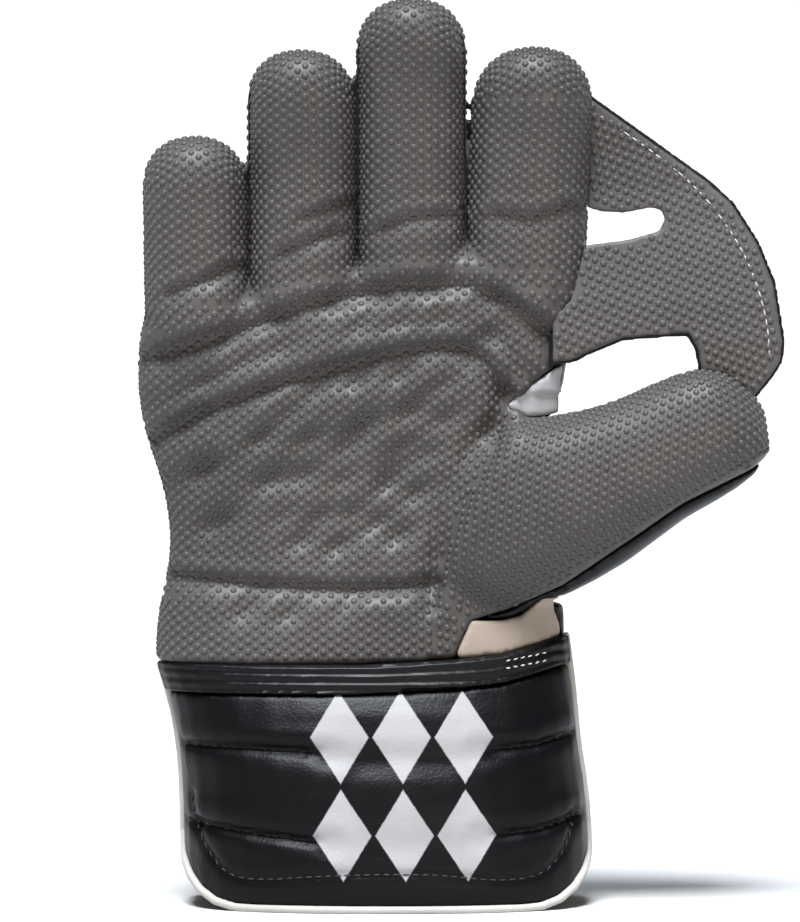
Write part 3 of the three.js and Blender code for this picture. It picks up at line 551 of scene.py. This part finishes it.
def from_chain(points, chain):
    """Distance from points seen from the front to a chain of places, in metres, and the side of
    the chain that they lie on: 1 above one that runs to the right, and -1 below it."""
    spots = points[:, (0, 2)]
    nearest = np.full(len(points), 1.0)
    side = np.ones(len(points))
    chain = np.array(chain)
    for start, end in zip(chain[:-1], chain[1:]):
        run = end - start
        gap = spots - start
        share = np.clip((gap @ run) / (run @ run), 0, 1)
        away = np.linalg.norm(gap - share[:, None] * run, axis=1)
        closer = away < nearest
        nearest = np.where(closer, away, nearest)
        side = np.where(closer, np.sign(run[0] * gap[:, 1] - run[1] * gap[:, 0] + 1e-12), side)
    return nearest, side


def press_folds(points, normals):
    """The folds and dimples of the palm side as a shift along the normals: each fold has a steep
    upper side that hangs over a longer, lighter lower one."""
    front = smoothstep(0.05, 0.5, -normals[:, 1])
    shift = np.zeros(len(points))
    for fold in PALM_FOLDS:
        away, side = from_chain(points, [hand_point(*corner) for corner in fold["line"]])
        away = away / (fold["wide"] / 1000)
        reach = np.where(side > 0, away / 0.72, away / 1.35)
        valley = -fold["depth"] * np.exp(-reach ** 2)
        upper = 0.42 * fold["depth"] * np.exp(-((away - 1.9) / 0.9) ** 2) * (side > 0)
        lower = 0.22 * fold["depth"] * np.exp(-((away - 3.2) / 1.4) ** 2) * (side < 0)
        shift += (valley + upper + lower) / 1000
    for across, up, depth, radius in (dimple(*reading) for reading in DIMPLE_READINGS):
        x, z = hand_point(across, up)
        beside = (points[:, 0] - x) / (radius / 1000)
        above = (points[:, 2] - z) / (radius / 1000) - DIMPLE_SLOPE * beside
        away = np.hypot(beside / DIMPLE_STRETCH, above)
        shift -= depth / 1000 * np.exp(-away ** 2)
    return shift * front


def part_fingers(piece):
    """Rounds the fingers' padding towards the slits between them and sinks the slits."""
    points, _ = points_of(piece)
    ahead = curl_at(points[:, 2]) - points[:, 1]
    for x, crotch in FINGER_SLITS:
        away = np.abs(points[:, 0] - x)
        above = smoothstep(-0.004, 0.008, points[:, 2] - crotch) * smoothstep(0.002, 0.008, ahead)
        sunk = 0.0075 * np.exp(-(away / 0.0014) ** 2) + 0.0018 * np.exp(-(away / 0.0048) ** 2)
        points[:, 1] += sunk * above
    piece.data.vertices.foreach_set("co", points.ravel())
    piece.data.update()


def eased(chain, rounds=2):
    """A chain of places with its corners cut, so that a seam along it runs smoothly."""
    chain = np.array(chain)
    for _ in range(rounds):
        near, far = 0.75 * chain[:-1] + 0.25 * chain[1:], 0.25 * chain[:-1] + 0.75 * chain[1:]
        chain = np.concatenate([chain[:1], np.stack([near, far], 1).reshape(-1, 2)[1:-1], chain[-1:]])
    return chain


def sew_cuff(points, normals):
    """The sewn channels and the hem seam of the cuff's front panel. Channels fade out inwards."""
    front = smoothstep(0.1, 0.5, -normals[:, 1])
    shift = np.zeros(len(points))
    for chain in CUFF_CHANNELS:
        away, _ = from_chain(points, chain)
        inner = np.hypot(points[:, 0] - chain[-1][0], points[:, 2] - chain[-1][1])
        shift += (0.0008 * np.exp(-((away - 0.0055) / 0.004) ** 2)
                  - 0.0024 * np.exp(-(away / 0.0015) ** 2)) * smoothstep(0.0, 0.010, inner)
    away, _ = from_chain(points, eased(HEM_SEAM))
    shift -= 0.0010 * np.exp(-(away / 0.0015) ** 2)
    return shift * front


def ridge_band(points, normals):
    """The rolled ridges that run along the cuff's band."""
    top = np.interp(points[:, 0], *zip(*BAND_TOP))
    low = np.interp(points[:, 0], *zip(*BAND_LOW))
    share = (points[:, 2] - low) / (top - low)
    wave = np.cos(2 * math.pi * BAND_RIDGES * share) - 1
    return 0.00035 * wave * smoothstep(0.1, 0.5, np.abs(normals[:, 1]))


def ripples(points, size, height, seed):
    """Slow uneven swelling, the same at every run."""
    offset = Vector((seed * 3.1, seed * 7.7, seed * 1.9))
    return np.array([noise.noise(Vector(point) / size + offset) for point in points]) * height


def surface_of(*names):
    """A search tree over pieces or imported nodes."""
    shape = bmesh.new()
    for name in names:
        shape.from_mesh((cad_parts.get(name) or bpy.data.objects[name]).data)
    tree = BVHTree.FromBMesh(shape)
    shape.free()
    return tree


def outer_hit(tree, start, way, reach):
    """Where a ray from inside the padding leaves its outer face, as place and normal, or None."""
    spot, gone = start, 0.0
    for _ in range(8):
        hit, normal, _, far = tree.ray_cast(spot, way, reach - gone)
        if hit is None:
            return None
        if normal.dot(way) > 0.12:
            return hit, normal
        gone += far + 2e-5
        spot = hit + way * 2e-5
    return None


def row_rays(centre, across, forward, half):
    """Rays from a line inside the padding: straight forward along it and fanned at both ends."""
    rays = [(centre + across * w, forward) for w in np.linspace(-half, half, 2 * int(half / RAY_STEP) + 1)]
    for angle in np.radians(np.arange(FAN_STEP, FAN_END, FAN_STEP)):
        way = forward * math.cos(angle) + across * math.sin(angle)
        rays.append((centre + across * half, way))
        rays.insert(0, (centre - across * half, forward * math.cos(angle) - across * math.sin(angle)))
    return rays


def row_spots(tree, row, shift, spacing, reach):
    """Places and normals at even steps along one row, counted from the row's middle."""
    rays = row_rays(*row)
    middle = len(rays) // 2
    spots = []
    for side, run in ((1, rays[middle:]), (-1, rays[middle::-1])):
        chain = []
        for start, way in run:
            found = outer_hit(tree, start, way, reach)
            if found is None or (chain and (found[0] - chain[-1][0]).length > WIDEST_JUMP):
                break
            chain.append(found)
        if len(chain) < 2:
            continue
        along = np.concatenate([[0.0], np.cumsum([(b[0] - a[0]).length for a, b in zip(chain, chain[1:])])])
        for step in range(-MOST_COLUMNS, MOST_COLUMNS):
            arc = side * (shift + step * spacing)
            if not 0 <= arc < along[-1]:
                continue
            k = int(np.searchsorted(along, arc, side="right")) - 1
            share = (arc - along[k]) / max(along[k + 1] - along[k], 1e-9)
            spots.append((chain[k][0].lerp(chain[k + 1][0], share),
                          chain[k][1].lerp(chain[k + 1][1], share).normalized()))
    return spots


def tip_rows(rise, bend, radius, centre, across, ahead, along):
    """Rows that turn over a rounded tip, from the height or length where it starts to bend."""
    number = int(bend / rise) + 1
    while (number * rise - bend) / radius < DOME_END:
        angle = (number * rise - bend) / radius
        yield number, (centre, across, ahead * math.cos(angle) + along * math.sin(angle), 0.0)
        number += 1


def finger_rows(finger, rise):
    """Rows round one finger from below its root seam up over its tip, with their numbers."""
    across, ahead, up = Vector((1, 0, 0)), Vector((0, -1, 0)), Vector((0, 0, 1))
    top = KNUCKLE_HEIGHT + finger["reach"]
    radius = finger["width"] * DOME_SHARE
    bend = top - radius
    for number in range(int(FINGER_ROWS_FROM / rise), int(bend / rise) + 1):
        z = number * rise
        share = (z - KNUCKLE_HEIGHT) / finger["reach"]
        x = hand_point(finger["root"] + (finger["tip"] - finger["root"]) * share, 0)[0]
        yield number, (Vector((x, float(curl_at(z)) - 0.001, z)), across, ahead, 0.0)
    x = hand_point(finger["tip"], 0)[0]
    centre = Vector((x, float(curl_at(bend)) - 0.001, bend))
    yield from tip_rows(rise, bend, radius, centre, across, ahead, up)


def palm_rows(rise):
    """Rows across the palm, from the cuff up to the roots of the fingers, with their numbers."""
    for number in range(int(PALM_ROWS[0] / rise), int(PALM_ROWS[1] / rise)):
        z = number * rise
        centre = Vector((HAND_MIDDLE, -0.001, z))
        yield number, (centre, Vector((1, 0, 0)), Vector((0, -1, 0)), PALM_RAY_LINE * HAND_WIDTH)


def thumb_rows(rise):
    """Rows square to the thumb, from the heel of the hand out over the thumb's tip."""
    along = Vector((math.cos(THUMB_LEAN), 0, math.sin(THUMB_LEAN)))
    across = Vector((math.sin(THUMB_LEAN), 0, -math.cos(THUMB_LEAN)))
    ahead = Vector((0, -1, 0))
    x, z = hand_point(*THUMB_ROOT)
    root = Vector((x, 0, z))
    radius = THUMB_WIDTH * DOME_SHARE
    bend = THUMB_LENGTH - radius
    for number in range(int(THUMB_ROWS_FROM / rise), int(bend / rise) + 1):
        far = number * rise
        forward = np.interp(far / THUMB_LENGTH, *zip(*THUMB_FORWARD))
        half = float(np.interp(far / THUMB_LENGTH, (0.0, 0.75), (0.020, 0.002)))
        yield number, (root + along * far - Vector((0, forward, 0)), across, ahead, half)
    forward = np.interp(bend / THUMB_LENGTH, *zip(*THUMB_FORWARD))
    centre = root + along * bend - Vector((0, forward, 0))
    yield from tip_rows(rise, bend, radius, centre, across, ahead, along)


class Spacing:
    """Keeps places that are at least a given distance from those already kept."""

    def __init__(self, least):
        self.least = least
        self.kept = {}

    def cell(self, place):
        return tuple(int(math.floor(part / self.least)) for part in place)

    def free(self, place):
        a, b, c = self.cell(place)
        near = (self.kept.get((a + i, b + j, c + k), ())
                for i in (-1, 0, 1) for j in (-1, 0, 1) for k in (-1, 0, 1))
        if any((other - place).length < self.least for group in near for other in group):
            return False
        self.kept.setdefault((a, b, c), []).append(place)
        return True


def apart(trees, place, limit=0.008):
    """Distance from a place to the nearest of some surfaces, up to a limit."""
    found = (tree.find_nearest(place, limit)[3] for tree in trees)
    return min((far for far in found if far is not None), default=limit)


def joined(name, unit, places, turns):
    """One mesh of many copies of a small closed shape, each turned and sized by its own matrix."""
    bmesh.ops.triangulate(unit, faces=unit.faces)
    unit.verts.ensure_lookup_table()
    corners = np.array([vert.co for vert in unit.verts])
    faces = np.array([[vert.index for vert in face.verts] for face in unit.faces])
    unit.free()
    places, turns = np.array(places), np.array(turns)
    spread = np.einsum("nij,kj->nki", turns, corners) + places[:, None, :]
    lists = faces[None, :, :] + (np.arange(len(places)) * len(corners))[:, None, None]
    mesh = bpy.data.meshes.new(name)
    mesh.from_pydata(spread.reshape(-1, 3).tolist(), [], lists.reshape(-1, 3).tolist())
    mesh.shade_smooth()
    return link(bpy.data.objects.new(name, mesh))


def pimple_shape():
    """A low round dome with a closed foot, one unit in radius and height."""
    shape = bmesh.new()
    bmesh.ops.create_uvsphere(shape, u_segments=8, v_segments=6, radius=1.0)
    everything = list(shape.verts) + list(shape.edges) + list(shape.faces)
    bmesh.ops.bisect_plane(shape, geom=everything, plane_co=(0, 0, -0.05), plane_no=(0, 0, 1),
                           clear_inner=True)
    rim = [edge for edge in shape.edges if edge.is_boundary]
    bmesh.ops.contextual_create(shape, geom=rim)
    bmesh.ops.recalc_face_normals(shape, faces=shape.faces)
    return shape


def stitch_shape():
    """A short plump thread, one unit from its middle to each end."""
    shape = bmesh.new()
    bmesh.ops.create_uvsphere(shape, u_segments=6, v_segments=5, radius=1.0)
    return shape


def pimples_on(name, spots, sizes, finish, seed):
    """Raised round pimples at places with normals, with slightly uneven sizes."""
    draw = random.Random(seed)
    places, turns = [], []
    for place, normal in spots:
        side = normal.orthogonal().normalized()
        other = normal.cross(side)
        wide = sizes.pimple_radius * draw.uniform(0.94, 1.06)
        high = sizes.pimple_height * draw.uniform(0.9, 1.1)
        turns.append([[side[i] * wide, other[i] * wide, normal[i] * high] for i in range(3)])
        places.append(place - normal * 0.00008)
    piece = joined(name, pimple_shape(), places, turns)
    piece.data.materials.append(finish)
    return piece


def stitches_on(name, tree, chains, way, pitch, length, thick, finish, fade=0.0):
    """Rows of stitches along chains of places, laid on a surface that is met from the front or back,
    and ending short of a chain's end by fade."""
    places, turns = [], []
    for chain in chains:
        chain = np.array(chain)
        steps = np.linalg.norm(np.diff(chain, axis=0), axis=1)
        along = np.concatenate([[0.0], np.cumsum(steps)])
        for arc in np.arange(pitch / 2, along[-1] - fade, pitch):
            x, z = (float(np.interp(arc, along, chain[:, axis])) for axis in (0, 1))
            hit, normal, _, _ = tree.ray_cast(Vector((x, -0.2 * way, z)), Vector((0, way, 0)))
            if hit is None:
                continue
            k = min(int(np.searchsorted(along, arc)), len(chain) - 1)
            run = chain[k] - chain[k - 1]
            ahead = Vector((run[0], 0, run[1]))
            ahead = (ahead - normal * ahead.dot(normal)).normalized()
            side = normal.cross(ahead)
            turns.append([[side[i] * thick, normal[i] * thick, ahead[i] * length / 2] for i in range(3)])
            places.append(hit + normal * thick * 0.25)
    piece = joined(name, stitch_shape(), places, turns)
    piece.data.materials.append(finish)
    return piece


def length(name, description, default, least):
    return FloatProperty(name=name, description=description, default=default, min=least, unit="LENGTH")


def tint(name, description, default):
    return FloatVectorProperty(name=name, description=description, subtype="COLOR", size=3,
                               default=default)


class GloveSizes(bpy.types.PropertyGroup):
    palm_voxel: length("Palm grid", "Grid size of the rubber's even mesh", 0.00125, 0.0008)
    back_voxel: length("Back grid", "Grid size of the leather back's even mesh", 0.0018, 0.0008)
    web_voxel: length("Web grid", "Grid size of the web's even mesh", 0.0007, 0.0004)
    column: length("Pimple columns", "Distance between columns of pimples", 0.00266, 0.001)
    pitch: length("Pimple pitch", "Distance between pimples in a column", 0.00355, 0.001)
    pimple_radius: length("Pimple radius", "Radius of one pimple at its foot", 0.00124, 0.0003)
    pimple_height: length("Pimple height", "How far a pimple stands out", 0.00078, 0.0001)


class GloveColours(bpy.types.PropertyGroup):
    rubber: tint("Rubber", "Colour of the grip rubber", (0.056, 0.0515, 0.0490))
    thread: tint("Thread", "Colour of the light stitches", (0.42, 0.40, 0.38))
    leather: tint("Leather", "Colour of the backs and the band", (0.0042, 0.0039, 0.0046))
    cuff: tint("Cuff", "Colour of the cuff's leather", (0.0021, 0.0019, 0.0026))
    printed: tint("Print", "Colour of the printed lozenges", (0.275, 0.268, 0.275))
    white: tint("White leather", "Colour of the crotch gusset", (0.34, 0.335, 0.35))
    cream: tint("Cream leather", "Colour of the wrist gusset", (0.26, 0.215, 0.175))
    piping: tint("Piping", "Colour of the piping", (0.37, 0.355, 0.335))


def rubber_finish():
    return material("grip_rubber", lambda: grip_rubber(bpy.context.scene.glove_colours))


def leather_finish():
    return material("black_leather",
                    lambda: grained_leather("black_leather", bpy.context.scene.glove_colours.leather))


def dress(piece, finish, slot, nodes):
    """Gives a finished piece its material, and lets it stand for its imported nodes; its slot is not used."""
    piece.data.materials.clear()
    piece.data.materials.append(finish)
    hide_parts(*nodes)
    return piece


class GLOVE_OT_palm(bpy.types.Operator):
    """Builds the padded rubber front of the hand with its folds and dimples"""

    bl_idname = "glove.palm"
    bl_label = "Rubber palm"

    def execute(self, context):
        voxel = context.scene.glove_sizes.palm_voxel
        palm = padded_copy(RUBBER_NODES, "rubber_palm", voxel, 8, 0.0001, 0.0002)
        part_fingers(palm)
        shift_points(palm, press_folds)
        shift_points(palm, lambda points, normals: ripples(points, 0.022, 0.0007, 1)
                     * smoothstep(0.1, 0.5, -normals[:, 1]))
        dress(palm, rubber_finish(), "grip_rubber", RUBBER_NODES)
        return {"FINISHED"}


class GLOVE_OT_pimples(bpy.types.Operator):
    """Sets the raised grip pimples on the palm, the fingers, the thumb and the web"""

    bl_idname = "glove.pimples"
    bl_label = "Grip pimples"

    def execute(self, context):
        sizes = context.scene.glove_sizes
        rise, spacing = sizes.pitch / 2, sizes.column * 2
        palm = surface_of("rubber_palm")
        faces = {node: surface_of(node) for node in RUBBER_NODES}
        trims = [surface_of(node) for node in BACK_NODES + TRIM_NODES]
        spacer = Spacing(sizes.column * 0.9)

        def on_panel(rows, node, shift, reach):
            others = [tree for name, tree in faces.items() if name != node]
            for number, row in rows:
                offset = shift + sizes.column * (number % 2)
                for place, normal in row_spots(palm, row, offset, spacing, reach):
                    if apart([faces[node]], place) >= apart(others, place):
                        continue
                    if apart(trims, place) > EDGE_MARGIN and spacer.free(place):
                        yield place, normal

        palm_spots = list(on_panel(palm_rows(rise), "palm_face", 0.0, 0.045))
        finger_spots = []
        for node, finger in FINGERS.items():
            shift = -(hand_point(finger["root"], 0)[0] - HAND_MIDDLE) % spacing
            finger_spots += on_panel(finger_rows(finger, rise), node, shift, 0.025)
        thumb_spots = list(on_panel(thumb_rows(rise), "thumb_face", 0.0, 0.050))
        web_spots = self.web_spots(sizes)
        for seed, (part, spots) in enumerate((("palm", palm_spots), ("fingers", finger_spots),
                                              ("thumb", thumb_spots), ("web", web_spots))):
            if len(spots) < FEWEST_PIMPLES:
                raise RuntimeError(f"only {len(spots)} pimples found their place on the {part}")
            pimples_on("pimples_" + part, spots, sizes, rubber_finish(), seed)
        return {"FINISHED"}

    def web_spots(self, sizes):
        """A lattice turned a little, pressed from the front on the web's rubber."""
        web = surface_of("sheet_web_face")
        leather = surface_of("sheet_web_back")
        back = Vector((0, 1, 0))
        turn = math.radians(WEB_TURN)
        spots = []
        for number in range(-WEB_LATTICE_ROWS, WEB_LATTICE_ROWS):
            for step in range(-MOST_COLUMNS, MOST_COLUMNS):
                a = (step + 0.5 * (number % 2)) * sizes.column * 2
                b = number * sizes.pitch / 2
                x = WEB_MIDDLE[0] + a * math.cos(turn) - b * math.sin(turn)
                z = WEB_MIDDLE[1] + a * math.sin(turn) + b * math.cos(turn)
                hits = [web.ray_cast(Vector((x + dx, -0.1, z + dz)), back) for dx, dz in WEB_PROBES]
                if any(hit[0] is None or hit[1].y > -0.25 for hit in hits):
                    continue
                cover = leather.ray_cast(Vector((x, -0.1, z)), back)
                if cover[0] is None or cover[3] > hits[0][3]:
                    spots.append(hits[0][:2])
        return spots


class GLOVE_OT_backs(bpy.types.Operator):
    """Builds the leather backs of the hand, the fingers and the thumb"""

    bl_idname = "glove.backs"
    bl_label = "Leather backs"

    def execute(self, context):
        voxel = context.scene.glove_sizes.back_voxel
        backs = (("leather_hand_back", ("hand_back",)), ("leather_thumb_back", ("thumb_back",)),
                 ("leather_finger_backs", BACK_NODES[2:]))
        for seed, (name, nodes) in enumerate(backs):
            back = padded_copy(nodes, name, voxel, 6, 0.0001)
            shift_points(back, lambda points, normals: ripples(points, 0.02, 0.0008, 5 + seed)
                         * smoothstep(0.0, 0.5, normals[:, 1]))
            dress(back, leather_finish(), "black_leather", nodes)
        return {"FINISHED"}


class GLOVE_OT_gussets(bpy.types.Operator):
    """Builds the white notch and the cream wrist gusset"""

    bl_idname = "glove.gussets"
    bl_label = "Gussets"

    def execute(self, context):
        colours = context.scene.glove_colours
        for node, slot, colour in (("crotch_gusset", "white_leather", colours.white),
                                   ("wrist_gusset", "cream_leather", colours.cream)):
            gusset = padded_copy((node,), "leather_" + node, 0.0009, 4, 0.0002)
            shift_points(gusset, lambda points, normals: ripples(points, 0.012, 0.0003, 9))
            if node == "crotch_gusset":
                move_points(gusset, widened_notch)
            dress(gusset, material(slot, lambda: grained_leather(slot, colour, 0.5, 0.04)), slot, (node,))
        return {"FINISHED"}


class GLOVE_OT_web(bpy.types.Operator):
    """Builds the rubber web and its leather back"""

    bl_idname = "glove.web"
    bl_label = "Catching web"

    def execute(self, context):
        voxel = context.scene.glove_sizes.web_voxel
        for node, slot, finish in (("web_face", "grip_rubber", rubber_finish()),
                                   ("web_back", "black_leather", leather_finish())):
            layer = padded_copy((node,), "sheet_" + node, voxel, 4, 0.00008)
            move_points(layer, blunted_corner)
            dress(layer, finish, slot, (node,))
        return {"FINISHED"}


class GLOVE_OT_cuff(bpy.types.Operator):
    """Builds the padded cuff panels and the sewn band"""

    bl_idname = "glove.cuff"
    bl_label = "Cuff"

    def execute(self, context):
        colours = context.scene.glove_colours
        printed = material("cuff_print_leather", lambda: printed_leather(colours))
        plain = material("cuff_leather", lambda: grained_leather("cuff_leather", colours.cuff, 0.40, 0.08))
        for node, name, voxel, relief, finish in (
                ("cuff_front", "padded_cuff_front", 0.0013, sew_cuff, printed),
                ("cuff_back", "padded_cuff_back", 0.0018, None, plain),
                ("cuff_band", "sewn_cuff_band", 0.0008, ridge_band, plain)):
            panel = padded_copy((node,), name, voxel, 6, 0.0001)
            if relief:
                shift_points(panel, relief)
            dress(panel, finish, "cuff_leather", (node,))
        return {"FINISHED"}


class GLOVE_OT_piping(bpy.types.Operator):
    """Builds the white piping round the cuff"""

    bl_idname = "glove.piping"
    bl_label = "Piping"

    def execute(self, context):
        colour = context.scene.glove_colours.piping
        finish = material("piping", lambda: grained_leather("piping", colour, 0.5, 0.04))
        for node in ("cuff_piping_front", "cuff_piping_back"):
            dress(padded_copy((node,), "trim_" + node, 0.0006, 4, 0.0001), finish, "piping", (node,))
        return {"FINISHED"}


class GLOVE_OT_stitches(bpy.types.Operator):
    """Sews the visible seams of the cuff, the web and the back"""

    bl_idname = "glove.stitches"
    bl_label = "Stitches"

    def execute(self, context):
        colours = context.scene.glove_colours
        light = material("light_thread", lambda: twisted_thread("light_thread", colours.thread))
        dark = material("dark_thread", lambda: twisted_thread("dark_thread", DARK_THREAD))
        front = surface_of("padded_cuff_front")
        band = surface_of("sewn_cuff_band")
        web = surface_of("sheet_web_face", "sheet_web_back")
        back = surface_of("leather_hand_back")
        stitches_on("stitches_hem", front, [eased(HEM_SEAM)], 1, 0.0034, 0.0026, 0.00032, dark)
        stitches_on("stitches_channels", front, CUFF_CHANNELS, 1, 0.0034, 0.0026, 0.00030, dark,
                    0.008)
        stitches_on("stitches_band", band, BAND_STITCHES, 1, 0.0026, 0.0017, 0.00030, light)
        stitches_on("stitches_web", web, [eased(WEB_SEAM)], 1, 0.0034, 0.0024, 0.00030, light)
        chains = [[hand_point(*corner) for corner in seam] for seam in BACK_SEAMS]
        stitches_on("stitches_back", back, chains, -1, 0.0036, 0.0027, 0.00036, light)
        return {"FINISHED"}


class GLOVE_OT_stage(bpy.types.Operator):
    """Sets the pale floor, the studio lights and the camera"""

    bl_idname = "glove.stage"
    bl_label = "Stage"

    def execute(self, context):
        scene = context.scene
        shape = bmesh.new()
        bmesh.ops.create_circle(shape, cap_ends=True, segments=96, radius=FLOOR_RADIUS)
        floor = mesh_piece("studio_floor", shape)
        scene.collection.objects.link(floor)
        finish = Finish("pale_floor")
        finish.set(Base_Color=FLOOR_COLOUR, Roughness=0.9)
        floor.data.materials.append(finish.material)

        world = bpy.data.worlds.new("studio")
        world.use_nodes = True
        nodes, links = world.node_tree.nodes, world.node_tree.links
        way = nodes.new("ShaderNodeTexCoord")
        split = nodes.new("ShaderNodeSeparateXYZ")
        fade = nodes.new("ShaderNodeMapRange")
        links.new(way.outputs["Generated"], split.inputs["Vector"])
        links.new(split.outputs["Z"], fade.inputs["Value"])
        for name, value in SKY_FADE.items():
            fade.inputs[name].default_value = value
        background = nodes["Background"]
        background.inputs["Color"].default_value = (1.0, 1.0, 1.0, 1.0)
        links.new(fade.outputs["Result"], background.inputs["Strength"])
        scene.world = world
        scene.view_settings.view_transform = "Standard"

        for name, kind, spot, size, power, colour in LIGHTS:
            lamp = bpy.data.lights.new(name, kind)
            if kind == "SUN":
                lamp.angle = math.radians(size)
            else:
                lamp.size = size
            lamp.energy = power
            lamp.color = colour
            holder = bpy.data.objects.new(name, lamp)
            holder.location = spot
            holder.rotation_euler = (LIGHT_TARGET - Vector(spot)).to_track_quat("-Z", "Y").to_euler()
            scene.collection.objects.link(holder)

        lens = bpy.data.cameras.new("camera")
        lens.sensor_fit = "AUTO"
        lens.sensor_width = SENSOR_WIDTH
        lens.lens = lens.sensor_width * CAMERA_AWAY / (IMAGE_HEIGHT * PIXEL)
        camera = bpy.data.objects.new("camera", lens)
        aim = Vector((AIM_X, 0.0, AIM_Z))
        camera.location = aim + Vector((0, -math.cos(CAMERA_RISE), math.sin(CAMERA_RISE))) * CAMERA_AWAY
        camera.rotation_euler = (aim - camera.location).to_track_quat("-Z", "Y").to_euler()
        lens.clip_end = FAR_CLIP
        scene.collection.objects.link(camera)
        scene.camera = camera
        return {"FINISHED"}


class GLOVE_PT_panel(bpy.types.Panel):
    bl_label = "Wicketkeeping Glove"
    bl_idname = "GLOVE_PT_panel"
    bl_space_type = "VIEW_3D"
    bl_region_type = "UI"
    bl_category = "Glove"

    def draw(self, context):
        for name in MAKING_ORDER:
            self.layout.operator("glove." + name)
        for group in (context.scene.glove_sizes, context.scene.glove_colours):
            for key in type(group).__annotations__:
                self.layout.prop(group, key)


MAKING_ORDER = ("palm", "backs", "gussets", "web", "cuff", "piping", "pimples", "stitches", "stage")
CLASSES = (GloveSizes, GloveColours, GLOVE_OT_palm, GLOVE_OT_backs, GLOVE_OT_gussets, GLOVE_OT_web,
           GLOVE_OT_cuff, GLOVE_OT_piping, GLOVE_OT_pimples, GLOVE_OT_stitches, GLOVE_OT_stage,
           GLOVE_PT_panel)


def register():
    for entry in CLASSES:
        bpy.utils.register_class(entry)
    bpy.types.Scene.glove_sizes = PointerProperty(type=GloveSizes)
    bpy.types.Scene.glove_colours = PointerProperty(type=GloveColours)


def unregister():
    del bpy.types.Scene.glove_colours
    del bpy.types.Scene.glove_sizes
    for entry in reversed(CLASSES):
        bpy.utils.unregister_class(entry)


def main():
    register()
    for name in MAKING_ORDER:
        getattr(bpy.ops.glove, name)()


if __name__ == "__main__":
    main()
